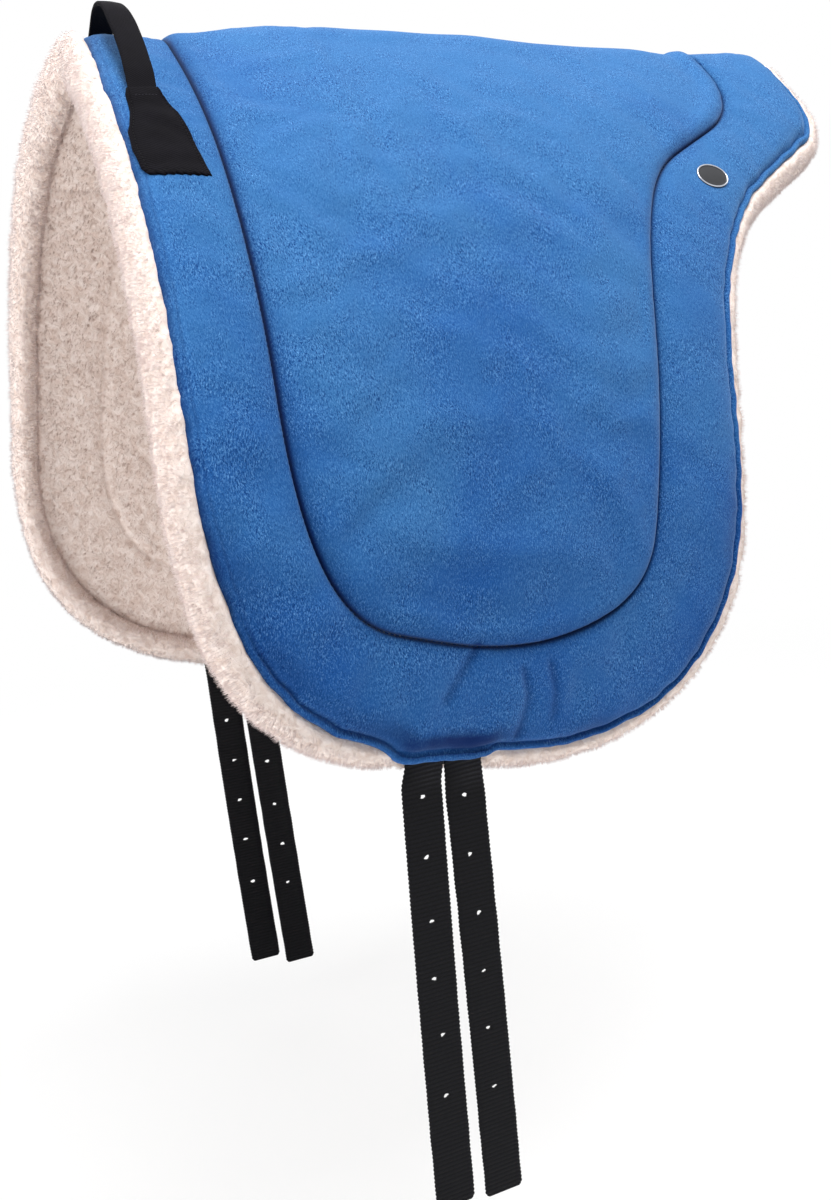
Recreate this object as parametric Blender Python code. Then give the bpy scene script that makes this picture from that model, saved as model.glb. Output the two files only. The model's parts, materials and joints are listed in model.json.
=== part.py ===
"""Bareback pad: a quilted velour seat pad with a fleece lining, hung over a back as a rider's saddle.

Every layer is a flat pattern piece that is draped over one arched section. A place on the pattern is
(s, t): s runs along the spine, to the rear, and t runs out from the spine, to the right where it is
positive. A height is measured from the lining's face, at the horse, out to the cover's face.
Metres, +Z up, -X to the front, -Y to the horse's left. The origin is under the spine, on the lining.
"""
import math

import bmesh
import bpy
from mathutils import Matrix, Vector

# Section across the pad, at the cover's face
GULLET_RADIUS = 0.022
CREST_TURN = math.radians(40.0)
BARREL_RADIUS = 0.587
BARREL_TURN = math.radians(60.7)
# The section is drawn at this station and grows wider to the front
SECTION_STATION = 0.083
FLARE_PER_METRE = 0.519

# Layers, from the lining out
LINING_THICKNESS = 0.009
BASE_FOAM_THICKNESS = 0.008
WEB_THICKNESS = 0.0018
SEAT_FOAM_THICKNESS = 0.0080
BORDER_FOAM_THICKNESS = 0.007
SEAM_FOAM_THICKNESS = 0.002
COVER_THICKNESS = 0.0016
LAYER_GAP = 0.0008
SEAM_GAP = 0.0008

# Outline of the cover, seen flat
HALF_LENGTH = 0.333
FLAP_DROP = 0.667
BORDER_WIDTH = 0.064
FLANGE_WIDTH = 0.007
PUFF_WIDTH = 0.024

# Lining and its spine cushions
LINING_PUFF = 0.004
RIM_SEAM_INSET = 0.0054
CREASE_DROP = 0.14
CUSHION_PUFF = 0.012
CUSHION_INSIDE = 0.046
CUSHION_OUTSIDE = 0.13
CUSHION_END_INSET = 0.022
CUSHION_EDGE_RAMP = 0.016

# Fleece roll round the edge
ROLL_REACH = 0.014
ROLL_HALF_WIDTH = 0.010
ROLL_DEPTH = 0.0134
ROLL_WALL = 0.006
ROLL_LIP = 0.012
ROLL_SEAM_ANGLE = math.radians(-150.0)
# Over the spine there is less room under the lining, by this share, out to this distance
SPINE_DEPTH_SHARE = 0.35
SPINE_DEPTH_REACH = 0.055

# Webbing: two girth webs over the pad, and the billets that hang from their ends
WEB_WIDTH = 0.0318
WEB_SPACE = 0.0024
WEB_PAIR_S = -0.156
WEB_SKEW = 0.0083
HINGE_OUTSIDE_EDGE = 0.009
NOTCH_MARGIN = 0.0015
BILLET_LENGTH = 0.350
BILLET_HOLE_RADIUS = 0.0023
BILLET_HOLE_PITCH = 0.0468
BILLET_FIRST_HOLE = 0.026
BILLET_HOLES = 6
BILLET_END_ROUND = 0.004
HINGE_GAP = 0.0004
BILLET_LEANS = {
    ("left", "front"): math.radians(0.3),
    ("left", "rear"): math.radians(2.2),
    ("right", "front"): math.radians(3.2),
    ("right", "rear"): math.radians(3.7),
}

# Handle over the withers
HANDLE_INSET = 0.0149
HANDLE_SWAY = 0.009
HANDLE_ROOT_CLEARANCE = 0.0027
HANDLE_END_GAP = 0.0008
HANDLE_CORNER_GAP = 0.0033
HANDLE_RISE = 0.016
HANDLE_WIDTH = 0.025
HANDLE_THICKNESS = 0.0036
HANDLE_BEND_SHARE = 1.5
# Stations of the strap, as shares of its half length
HANDLE_STATION_SHARES = (0.05, 0.15, 0.26, 0.4, 0.6, 0.8, 1.0)
TAB_THICKNESS = 0.0022
TAB_TOP_DROP = 0.136
TAB_SHOULDER_DROP = 0.180
TAB_BOTTOM_DROP = 0.2155
TAB_TOP_WIDTH = 0.027
TAB_WIDTH = 0.046

# Plain badge on the left rear of the border
BADGE_INSET = 0.0295
BADGE_DROP = 0.208
BADGE_LENGTH = 0.034
BADGE_HEIGHT = 0.025
BADGE_THICKNESS = 0.0016
BADGE_RIM = 0.0012
BADGE_DISH = 0.0005

# How finely the curves are cut
CREST_STATIONS = 3
CROWN_STATIONS = 4
FLAP_STATIONS = 9
BOTTOM_STEPS = 12
CAP_ROWS = 3
WEB_ROW_PITCH = 0.03
OUTLINE_SAMPLES = 60
ROLL_STEPS = 5
CUT_OVERRUN = 0.004
MERGE = 0.000001

# Corners of the cover's half outline, as shares of HALF_LENGTH and FLAP_DROP
EDGE_SHARES = ((-0.929, 0.0), (-1.02, 0.906), (-0.193, 1.011), (0.365, 0.976),
               (0.5, 0.406), (1.117, 0.206), (1.092, 0.0))
# How far each inner corner is rounded before and after it, as shares of FLAP_DROP
EDGE_ROUND_SHARES = ((0.285, 0.214), (0.12, 0.077), (0.204, 0.241), (0.226, 0.168), (0.039, 0.055))
# Where the quilted seam's corners lie from the cover's corners, as shares of BORDER_WIDTH
SEAM_INSET_SHARES = ((1.016, 0.0), (1.035, -1.144), (-0.7, -1.414), (-1.446, -1.229),
                     (-0.919, -0.861), (-1.492, -0.293), (-1.442, 0.0))
SEAM_ROUND_SHARES = ((0.225, 0.115), (0.094, 0.071), (0.136, 0.085), (0.212, 0.108), (0.083, 0.089))
# Places across a filled panel, as shares of its width
FILL_SHARES = (0.2, 0.4, 0.6, 0.8)

# The handle lies behind the front edge, and the badge behind the waist's corner
HANDLE_S = EDGE_SHARES[0][0] * HALF_LENGTH + HANDLE_INSET
BADGE_S = EDGE_SHARES[4][0] * HALF_LENGTH + BADGE_INSET

# Heights of the layers' faces
BASE_LOW = LINING_THICKNESS + LAYER_GAP
BASE_HIGH = BASE_LOW + BASE_FOAM_THICKNESS
WEB_LOW = BASE_HIGH + LAYER_GAP
WEB_HIGH = WEB_LOW + WEB_THICKNESS
FOAM_LOW = WEB_HIGH + LAYER_GAP
SEAT_HIGH = FOAM_LOW + SEAT_FOAM_THICKNESS
BORDER_HIGH = FOAM_LOW + BORDER_FOAM_THICKNESS
SEAM_HIGH = FOAM_LOW + SEAM_FOAM_THICKNESS
BORDER_TOP = BORDER_HIGH + LAYER_GAP + COVER_THICKNESS
PAD_THICKNESS = SEAT_HIGH + LAYER_GAP + COVER_THICKNESS
CREST_RADIUS = GULLET_RADIUS + PAD_THICKNESS

VELOUR = ("velour", (0.05, 0.19, 0.53), 0.85)
FLEECE = ("fleece", (0.86, 0.77, 0.68), 0.95)
FOAM = ("foam", (0.80, 0.78, 0.70), 0.90)
WEBBING = ("webbing", (0.012, 0.012, 0.014), 0.65)
TWILL = ("twill", (0.015, 0.015, 0.018), 0.75)
BADGE = ("badge", (0.02, 0.03, 0.05), 0.35)


def section(distance):
    """Return y, z and the turn of the cover's face at a distance out from the spine."""
    crest_end = CREST_RADIUS * CREST_TURN
    if distance < crest_end:
        turn = distance / CREST_RADIUS
        return CREST_RADIUS * math.sin(turn), CREST_RADIUS * (math.cos(turn) - 1.0), turn
    y = CREST_RADIUS * math.sin(CREST_TURN)
    z = CREST_RADIUS * (math.cos(CREST_TURN) - 1.0)
    barrel = min(distance - crest_end, BARREL_RADIUS * BARREL_TURN)
    turn = CREST_TURN + barrel / BARREL_RADIUS
    y += BARREL_RADIUS * (math.sin(turn) - math.sin(CREST_TURN))
    z += BARREL_RADIUS * (math.cos(turn) - math.cos(CREST_TURN))
    rest = distance - crest_end - barrel
    return y + rest * math.cos(turn), z - rest * math.sin(turn), turn


def drape(s, t, height):
    """Return the point in space of a place on the pattern, at a height over the lining's face."""
    side = -1.0 if t < 0 else 1.0
    y, z, turn = section(abs(t))
    if height < 0.0:
        height *= SPINE_DEPTH_SHARE + (1.0 - SPINE_DEPTH_SHARE) * min(1.0, abs(t) / SPINE_DEPTH_REACH)
    width = 1.0 + FLARE_PER_METRE * (SECTION_STATION - s)
    normal = Vector((y * FLARE_PER_METRE * math.sin(turn), side * math.sin(turn), width * math.cos(turn)))
    face = Vector((s, side * y * width, z + PAD_THICKNESS))
    return face + normal.normalized() * (height - PAD_THICKNESS)


def rounded_outline(corners, rounds):
    """Return a half outline as a list of points: straight runs with a smooth curve at each corner.

    Where the curves of two neighbours would meet on a short run, both are shortened alike.
    """
    corners = [Vector(corner) for corner in corners]
    room = []
    for index, (first, second) in enumerate(zip(corners, corners[1:])):
        after = rounds[index - 1][1] if index else 0.0
        before = rounds[index][0] if index < len(rounds) else 0.0
        room.append(min(1.0, (second - first).length / max(before + after, MERGE)))
    points = [corners[0]]
    for index in range(1, len(corners) - 1):
        corner = corners[index]
        before, after = rounds[index - 1]
        start = corner + (corners[index - 1] - corner).normalized() * before * room[index - 1]
        end = corner + (corners[index + 1] - corner).normalized() * after * room[index]
        for step in range(OUTLINE_SAMPLES + 1):
            share = step / OUTLINE_SAMPLES
            low = start.lerp(corner, share)
            points.append(low.lerp(corner.lerp(end, share), share))
    points.append(corners[-1])
    return points


def point_at_drop(run, drop):
    """Return the point where a run of points, whose t only grows, reaches a given t."""
    for first, second in zip(run, run[1:]):
        if first.y <= drop <= second.y and second.y > first.y:
            return first.lerp(second, (drop - first.y) / (second.y - first.y))
    return run[-1].copy() if drop > run[-1].y else run[0].copy()


def evenly(run, count):
    """Return points spaced evenly along a run, without its two ends."""
    lengths = [0.0]
    for first, second in zip(run, run[1:]):
        lengths.append(lengths[-1] + (second - first).length)
    places = []
    for step in range(1, count):
        goal = lengths[-1] * step / count
        index = max(i for i, length in enumerate(lengths) if length <= goal)
        index = min(index, len(run) - 2)
        part = lengths[index + 1] - lengths[index]
        places.append(run[index].lerp(run[index + 1], (goal - lengths[index]) / max(part, MERGE)))
    return places


class Loop:
    """A closed outline, cut at the same stations on every layer.

    Each half has its front places, bottom places and rear places, all listed from the spine down.
    """

    def __init__(self, corners, rounds):
        """Cut a half outline at the stations."""
        points = rounded_outline(corners, rounds)
        samples = OUTLINE_SAMPLES + 1
        lowest = 1 + 2 * samples + samples // 2
        rear_start = 1 + 2 * samples + samples - samples // 3
        bottom = points[:lowest]
        rear = list(reversed(points[rear_start:]))
        end_drop = rear[-1].y
        turn_point = next(i for i, point in enumerate(bottom) if point.y > end_drop)
        front = bottom[:turn_point]
        front.append(point_at_drop(bottom[:turn_point + 1], end_drop))
        stations = []
        crest_end = CREST_RADIUS * CREST_TURN
        for step in range(CREST_STATIONS):
            stations.append(crest_end * (2 * step + 1) / (2 * CREST_STATIONS - 1))
        for step in range(1, CROWN_STATIONS + 1):
            stations.append(crest_end + (CREASE_DROP - crest_end) * step / CROWN_STATIONS)
        for step in range(1, FLAP_STATIONS + 1):
            stations.append(CREASE_DROP + (end_drop - CREASE_DROP) * step / FLAP_STATIONS)
        self.front = [point_at_drop(front, drop) for drop in stations]
        self.rear = [point_at_drop(rear, drop) for drop in stations]
        run = [self.front[-1]] + points[turn_point:rear_start] + [self.rear[-1]]
        self.bottom = evenly(run, BOTTOM_STEPS)

    def half(self):
        """Return one half from the spine's front, round the bottom, to the spine's rear."""
        return self.front + self.bottom + list(reversed(self.rear))

    def shifted(self, other, distance):
        """Return this outline moved out by a distance, along the lines from another outline to it."""
        ring = self.half()
        inner = other.half()
        moved = []
        for index, point in enumerate(ring):
            before = ring[index - 1] if index else Vector((point.x, -point.y))
            after = ring[index + 1] if index + 1 < len(ring) else Vector((point.x, -point.y))
            along = (after - before).normalized()
            outward = Vector((-along.y, along.x))
            way = (point - inner[index]).normalized()
            if way.dot(outward) < 0:
                outward = -outward
            moved.append(point + way * (distance / max(way.dot(outward), math.cos(math.radians(50.0)))))
        return self.like(moved)

    def like(self, half):
        """Return a loop with this one's stations, through the places given for one half."""
        copy = Loop.__new__(Loop)
        count = len(self.front)
        copy.front = half[:count]
        copy.bottom = half[count:count + len(self.bottom)]
        copy.rear = list(reversed(half[count + len(self.bottom):]))
        return copy

    def ring(self):
        """Return the whole outline as a closed list of places."""
        right = self.half()
        left = [Vector((point.x, -point.y)) for point in reversed(right)]
        return right + left


def edge_corners():
    """Return the corners of the cover's half outline."""
    return [(s * HALF_LENGTH, t * FLAP_DROP) for s, t in EDGE_SHARES]


def seam_corners():
    """Return the corners of the quilted seam's half outline."""
    return [(s + ds * BORDER_WIDTH, t + dt * BORDER_WIDTH)
            for (s, t), (ds, dt) in zip(edge_corners(), SEAM_INSET_SHARES)]


def scaled_rounds(shares):
    """Return rounding lengths from their shares of the flap's drop."""
    return [(before * FLAP_DROP, after * FLAP_DROP) for before, after in shares]


EDGE = Loop(edge_corners(), scaled_rounds(EDGE_ROUND_SHARES))
SEAM = Loop(seam_corners(), scaled_rounds(SEAM_ROUND_SHARES))


def from_edge(distance):
    """Return the outline at a distance outside the cover's edge."""
    return EDGE.shifted(SEAM, distance)


def from_seam(distance):
    """Return the outline at a distance outside the quilted seam."""
    mirror = SEAM.like([2.0 * a - b for a, b in zip(SEAM.half(), EDGE.half())])
    return SEAM.shifted(mirror, distance)


def material(finish):
    """Return the material of a finish, made once."""
    name, colour, roughness = finish
    if name in bpy.data.materials:
        return bpy.data.materials[name]
    made = bpy.data.materials.new(name)
    made.use_nodes = True
    shader = made.node_tree.nodes["Principled BSDF"]
    shader.inputs["Base Color"].default_value = (*colour, 1.0)
    shader.inputs["Roughness"].default_value = roughness
    return made


def add_object(name, mesh_builder, finish, smooth=True):
    """Link a finished body as a named object and shade its curved faces smooth."""
    bmesh.ops.remove_doubles(mesh_builder, verts=mesh_builder.verts, dist=MERGE)
    bmesh.ops.recalc_face_normals(mesh_builder, faces=mesh_builder.faces)
    mesh = bpy.data.meshes.new(name)
    mesh_builder.to_mesh(mesh)
    mesh_builder.free()
    if smooth:
        mesh.shade_smooth()
        mesh.set_sharp_from_angle(angle=math.radians(35.0))
    mesh.materials.append(material(finish))
    made = bpy.data.objects.new(name, mesh)
    bpy.context.collection.objects.link(made)
    return made


def add_cutter(name, mesh_builder):
    """Link a body that only cuts others."""
    made = add_object(name, mesh_builder, FOAM, smooth=False)
    made.hide_render = True
    made.display_type = "WIRE"
    return made


def cut(target, cutter):
    """Cut a body with a cutter."""
    modifier = target.modifiers.new("cut", "BOOLEAN")
    modifier.operation = "DIFFERENCE"
    modifier.object = cutter


class Sheet:
    """A pattern piece made of cells, each a list of places (s, t, low height, high height)."""

    def __init__(self):
        """Start an empty sheet."""
        self.cells = []

    def strip(self, first, second, closed=False):
        """Add the cells between two rows of places."""
        count = len(first) if closed else len(first) - 1
        for index in range(count):
            after = (index + 1) % len(first)
            self.cells.append([first[index], first[after], second[after], second[index]])

    def rows(self, rows):
        """Add the cells between each row and the next."""
        for first, second in zip(rows, rows[1:]):
            self.strip(first, second)

    def solid(self):
        """Return the closed body between the low face and the high face."""
        body = bmesh.new()
        places = {}
        edges = {}

        def corner(place):
            """Return the low and high vertex of a place, shared by its cells."""
            s, t, low, high = place
            key = (round(s / MERGE), round(t / MERGE))
            if key not in places:
                places[key] = (body.verts.new(drape(s, t, low)), body.verts.new(drape(s, t, high)))
            return key

        for cell in self.cells:
            keys = []
            for place in cell:
                key = corner(place)
                if key not in keys:
                    keys.append(key)
            if len(keys) < 3:
                continue
            for first, second in zip(keys[1:], keys[2:]):
                body.faces.new([places[key][0] for key in (keys[0], first, second)])
                body.faces.new([places[key][1] for key in (keys[0], second, first)])
            for first, second in zip(keys, keys[1:] + keys[:1]):
                edge = (min(first, second), max(first, second))
                edges[edge] = edges.get(edge, 0) + 1
        for (first, second), uses in edges.items():
            if uses == 1:
                body.faces.new([places[first][0], places[second][0], places[second][1], places[first][1]])
        return body


def places(points, low, high):
    """Return places with one low and one high height."""
    return [(point.x, point.y, low, high) for point in points]


def mirrored(row):
    """Return a row of places on the other side of the spine."""
    return [(s, -t, low, high) for s, t, low, high in row]


def add_rings(sheet, stops):
    """Add rings of cells between stops, each a loop with its low and high height."""
    for (loop_a, low_a, high_a), (loop_b, low_b, high_b) in zip(stops, stops[1:]):
        sheet.strip(places(loop_a.ring(), low_a, high_a), places(loop_b.ring(), low_b, high_b), closed=True)


def across(front, rear, low, high):
    """Return a row of places from a front place to a rear place."""
    shares = (0.0,) + FILL_SHARES + (1.0,)
    return places([front.lerp(rear, share) for share in shares], low, high)


def add_cap(sheet, loop, low, high, side):
    """Fill between the lowest station of a loop and its bottom curve."""
    run = [loop.front[-1]] + loop.bottom + [loop.rear[-1]]
    lengths = [0.0]
    for first, second in zip(run, run[1:]):
        lengths.append(lengths[-1] + (second - first).length)
    above = [run[0].lerp(run[-1], length / lengths[-1]) for length in lengths]
    ends = places([run[0], run[-1]], low, high)
    cells = Sheet()
    below = places(run[1:-1], low, high)
    for step in range(CAP_ROWS - 1, 0, -1):
        line = places([a.lerp(b, step / CAP_ROWS) for a, b in zip(above, run)][1:-1], low, high)
        cells.strip(below, line)
        cells.cells.append([ends[0], below[0], line[0]])
        cells.cells.append([below[-1], ends[1], line[-1]])
        below = line
    zipper(cells, [ends[0]] + below + [ends[1]], across(loop.front[-1], loop.rear[-1], low, high))
    for cell in cells.cells:
        sheet.cells.append(mirrored(cell) if side < 0 else cell)


def zipper(sheet, first, second):
    """Join two rows that share their end places but have other counts, with triangles."""
    a = 0
    b = 0
    while a < len(first) - 1 or b < len(second) - 1:
        step_a = a < len(first) - 1 and (b == len(second) - 1 or (a + 1) * (len(second) - 1) <= (b + 1) * (len(first) - 1))
        if step_a:
            sheet.cells.append([first[a], first[a + 1], second[b]])
            a += 1
        else:
            sheet.cells.append([first[a], second[b + 1], second[b]])
            b += 1


def add_fill(sheet, loop, low, high):
    """Fill the inside of a whole loop at one height."""
    rows = [across(front, rear, low, high) for front, rear in zip(loop.front, loop.rear)]
    sheet.rows([mirrored(row) for row in reversed(rows)] + rows)
    add_cap(sheet, loop, low, high, 1)
    add_cap(sheet, loop, low, high, -1)


def puffed(low_height, high_height):
    """Return the heights of a puffed layer at the seam, near it and clear of it."""
    near = low_height + (high_height - low_height) * math.sin(math.radians(55.0))
    return low_height, near, high_height


def build_seat():
    """Make the seat's cover and foam, which rise from the quilted seam."""
    seam, near, full = puffed(SEAM_HIGH, SEAT_HIGH)
    steps = (-SEAM_GAP / 2.0, -PUFF_WIDTH / 3.0, -PUFF_WIDTH)
    foam = Sheet()
    add_rings(foam, [(from_seam(step), FOAM_LOW, high) for step, high in zip(steps, (seam, near, full))])
    add_fill(foam, from_seam(steps[-1]), FOAM_LOW, full)
    add_object("seat_foam", foam.solid(), FOAM)
    cover = Sheet()
    lift = LAYER_GAP
    stops = [(from_seam(step), high + lift, high + lift + COVER_THICKNESS)
             for step, high in zip(steps, (seam, near, full))]
    add_rings(cover, stops)
    add_fill(cover, from_seam(steps[-1]), full + lift, full + lift + COVER_THICKNESS)
    add_object("seat_cover", cover.solid(), VELOUR)


def build_border():
    """Make the border's cover and foam, between the quilted seam and the flat flange at the edge."""
    seam, near, full = puffed(SEAM_HIGH, BORDER_HIGH)
    flange_start = -FLANGE_WIDTH - LAYER_GAP
    inside = from_seam(PUFF_WIDTH)
    outside = from_edge(flange_start - PUFF_WIDTH / 2.0)
    stops = [
        (from_seam(SEAM_GAP / 2.0), seam),
        (from_seam(PUFF_WIDTH / 3.0), near),
        (inside, full),
        (outside, full),
        (from_edge(flange_start - SEAM_FOAM_THICKNESS), seam),
    ]
    foam = Sheet()
    add_rings(foam, [(loop, FOAM_LOW, high) for loop, high in stops])
    add_object("border_foam", foam.solid(), FOAM)
    cover_stops = [(loop, high + LAYER_GAP) for loop, high in stops]
    cover_stops += [(from_edge(-FLANGE_WIDTH), FOAM_LOW), (EDGE, FOAM_LOW)]
    cover = Sheet()
    add_rings(cover, [(loop, low, low + COVER_THICKNESS) for loop, low in cover_stops])
    add_object("border_cover", cover.solid(), VELOUR)


def build_base_foam():
    """Make the flat foam that runs from flap to flap under everything else."""
    loop = from_edge(-ROLL_LIP - LAYER_GAP)
    foam = Sheet()
    inside = from_seam(PUFF_WIDTH)
    outside = from_edge(-FLANGE_WIDTH - PUFF_WIDTH)
    middle = SEAM.like([a.lerp(b, 0.5) for a, b in zip(outside.half(), inside.half())])
    stops = (loop, outside, middle, inside, SEAM)
    add_rings(foam, [(stop, BASE_LOW, BASE_HIGH) for stop in stops])
    add_fill(foam, SEAM, BASE_LOW, BASE_HIGH)
    add_object("base_foam", foam.solid(), FOAM)


def cushion_rise(s, t, front_s, rear_s):
    """Return how far the spine cushions push the lining in at a place."""
    inside = min(abs(t) - CUSHION_INSIDE + CUSHION_EDGE_RAMP / 2.0, CREASE_DROP - abs(t))
    ends = min(s - front_s, rear_s - s)
    across_share = max(0.0, min(1.0, inside / CUSHION_EDGE_RAMP))
    end_share = max(0.0, min(1.0, ends / CUSHION_END_INSET))
    return CUSHION_PUFF * math.sin(across_share * math.pi / 2.0) * math.sin(end_share * math.pi / 2.0)


def cushion_drops():
    """Return the distances from the spine at which the spine panel is cut, on one side."""
    crest_end = CREST_RADIUS * CREST_TURN
    drops = [crest_end / (2 * CREST_STATIONS - 1), crest_end]
    inner = CUSHION_INSIDE
    outer = CUSHION_OUTSIDE
    return drops + [inner - CUSHION_EDGE_RAMP / 4.0, inner + CUSHION_EDGE_RAMP / 2.0, (inner + outer) / 2.0,
                    outer - CUSHION_EDGE_RAMP / 2.0, outer, CREASE_DROP - SEAM_GAP / 2.0]


def spine_ends(drop):
    """Return where the lining's spine panel starts and ends at a distance from the spine."""
    loop = from_edge(-RIM_SEAM_INSET)
    return point_at_drop(loop.front, drop).x, point_at_drop(loop.rear, drop).x


def spine_row(drop, low, high, inset):
    """Return one row of the spine panel, pushed in by the cushions."""
    front_s, rear_s = spine_ends(drop)
    steps = [0.0, CUSHION_END_INSET / 2.0, CUSHION_END_INSET]
    middle = [front_s + (rear_s - front_s) * share for share in FILL_SHARES]
    stations = [front_s + step for step in steps] + middle + [rear_s - step for step in reversed(steps)]
    if inset:
        stations = [s for s in stations if front_s + inset <= s <= rear_s - inset]
    row = []
    for s in stations:
        rise = cushion_rise(s, drop, front_s, rear_s)
        row.append((s, drop, low - rise, high - rise if high else BASE_LOW - LAYER_GAP))
    return row


def build_lining():
    """Make the fleece lining: a spine panel over two cushions, and a quilted panel on each side."""
    drops = cushion_drops()
    panel = Sheet()
    right = [spine_row(drop, 0.0, LINING_THICKNESS, 0.0) for drop in drops]
    panel.rows([mirrored(row) for row in reversed(right)] + right)
    add_object("lining_spine_panel", panel.solid(), FLEECE)
    cushion_rows = [spine_row(drop, LINING_THICKNESS + LAYER_GAP, 0.0, CUSHION_END_INSET / 2.0)
                    for drop in drops if CUSHION_INSIDE < drop <= CUSHION_OUTSIDE - CUSHION_EDGE_RAMP / 2.0 + MERGE]
    for side, name in ((1.0, "right"), (-1.0, "left")):
        cushion = Sheet()
        cushion.rows([row if side > 0 else mirrored(row) for row in cushion_rows])
        add_object("spine_cushion_" + name, cushion.solid(), FOAM)
        panel = Sheet()
        add_side_panel(panel, side)
        add_object("lining_side_" + name, panel.solid(), FLEECE)


def below_crease(loop):
    """Return a loop's half without the stations above the crease."""
    start = CREST_STATIONS + CROWN_STATIONS - 1
    front = [point.copy() for point in loop.front[start:]]
    rear = [point.copy() for point in loop.rear[start:]]
    front[0].y = CREASE_DROP + SEAM_GAP / 2.0
    rear[0].y = CREASE_DROP + SEAM_GAP / 2.0
    return front, loop.bottom, rear


def add_side_panel(sheet, side):
    """Add one side of the lining, drawn in along the quilted seam."""
    high = LINING_THICKNESS
    outside = from_edge(-RIM_SEAM_INSET - PUFF_WIDTH)
    inside = from_seam(PUFF_WIDTH / 2.0)
    stops = [
        (from_edge(-RIM_SEAM_INSET), 0.0),
        (outside, -LINING_PUFF),
        (inside, -LINING_PUFF),
        (SEAM, 0.0),
        (from_seam(-PUFF_WIDTH / 2.0), -LINING_PUFF),
    ]
    cells = Sheet()
    runs = []
    for loop, low in stops:
        front, bottom, rear = below_crease(loop)
        runs.append(places(front + bottom + list(reversed(rear)), low, high))
    cells.rows(runs)
    loop, low = stops[-1]
    front, bottom, rear = below_crease(loop)
    cells.rows([across(a, b, low, high) for a, b in zip(front, rear)])
    add_cap(cells, loop, low, high, 1)
    for cell in cells.cells:
        sheet.cells.append(mirrored(cell) if side < 0 else cell)


def ring_sweep(name, contour, finish):
    """Sweep a closed contour of (distance outside the edge, height) round the cover's edge."""
    body = bmesh.new()
    rings = []
    for distance, height in contour:
        loop = from_edge(distance).ring()
        rings.append([body.verts.new(drape(point.x, point.y, height)) for point in loop])
    for first, second in zip(rings, rings[1:] + rings[:1]):
        for index in range(len(first)):
            after = (index + 1) % len(first)
            body.faces.new([first[index], first[after], second[after], second[index]])
    return add_object(name, body, finish)


def roll_arc(inset, start, end, steps):
    """Return places on the roll's outer curve, or inside it by an inset."""
    centre_w = ROLL_REACH - ROLL_HALF_WIDTH
    half_height = (WEB_HIGH + ROLL_DEPTH) / 2.0
    centre_h = WEB_HIGH - half_height
    arc = []
    for step in range(steps + 1):
        angle = start + (end - start) * step / steps
        arc.append((centre_w + (ROLL_HALF_WIDTH - inset) * math.cos(angle),
                    centre_h + (half_height - inset) * math.sin(angle)))
    return arc


def web_centres(drop):
    """Return the place along the spine of each girth web's centre line, at a distance from the spine."""
    pitch = WEB_WIDTH + WEB_SPACE
    middle = WEB_PAIR_S + WEB_SKEW * drop
    return {"front": middle - pitch / 2.0, "rear": middle + pitch / 2.0}


def edge_drop(s):
    """Return how far down the cover's bottom edge lies at a place along the spine."""
    half = EDGE.half()
    low = [(a, b) for a, b in zip(half, half[1:]) if min(a.x, b.x) <= s <= max(a.x, b.x)]
    first, second = max(low, key=lambda pair: pair[0].y)
    return first.lerp(second, (s - first.x) / (second.x - first.x)).y


def hinge_drop(side, place):
    """Return how far down the hinge line of a billet lies."""
    return edge_drop(web_centres(side * FLAP_DROP)[place]) + HINGE_OUTSIDE_EDGE


def strip_sheet(offset, half_width, drops, low, high):
    """Return a sheet that follows the section beside the webs' middle line."""
    sheet = Sheet()
    rows = []
    for drop in drops:
        middle = WEB_PAIR_S + WEB_SKEW * drop + offset
        rows.append([(middle - half_width, drop, low, high), (middle + half_width, drop, low, high)])
    sheet.rows(rows)
    return sheet


def build_edge_roll():
    """Make the fleece roll and its core, with a pressed place under each pair of billets."""
    top = math.pi / 2.0
    outer = roll_arc(0.0, ROLL_SEAM_ANGLE, top, ROLL_STEPS)
    inner = roll_arc(ROLL_WALL, ROLL_SEAM_ANGLE, top, ROLL_STEPS)
    lip = [(-ROLL_LIP, WEB_HIGH), (-ROLL_LIP, WEB_HIGH - ROLL_WALL)]
    roll = ring_sweep("edge_roll_fleece", outer + lip + list(reversed(inner)), FLEECE)
    core = roll_arc(ROLL_WALL + 2.0 * LAYER_GAP, ROLL_SEAM_ANGLE, top, ROLL_STEPS)
    ring_sweep("edge_roll_core", core, FOAM)
    reach = WEB_WIDTH + WEB_SPACE / 2.0 + NOTCH_MARGIN
    for side in (1.0, -1.0):
        above = hinge_drop(side, "front") - ROLL_LIP - ROLL_REACH * 2.0
        below = hinge_drop(side, "rear") + ROLL_REACH * 2.0
        drops = [side * drop for drop in (above, (above + below) / 2.0, below)]
        notch = strip_sheet(0.0, reach, drops, BASE_HIGH, PAD_THICKNESS + CUT_OVERRUN)
        cut(roll, add_cutter("roll_notch", notch.solid()))


def web_stations(end):
    """Return the distances from the spine at which a web is cut, to one end."""
    kept = [point.y for point in SEAM.front]
    steps = math.ceil((end - kept[-1]) / WEB_ROW_PITCH)
    return kept + [kept[-1] + (end - kept[-1]) * step / steps for step in range(1, steps + 1)]


def build_girth_webs():
    """Make the two webs that run over the pad between its foams and carry the billets."""
    for name, centre in web_centres(0.0).items():
        left, right = (web_stations(hinge_drop(side, name) - WEB_THICKNESS / 2.0 - HINGE_GAP)
                       for side in (-1.0, 1.0))
        run = [-drop for drop in reversed(left)] + right
        web = strip_sheet(centre - WEB_PAIR_S, WEB_WIDTH / 2.0, run, WEB_LOW, WEB_HIGH)
        add_object("girth_web_" + name, web.solid(), WEBBING)


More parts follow.
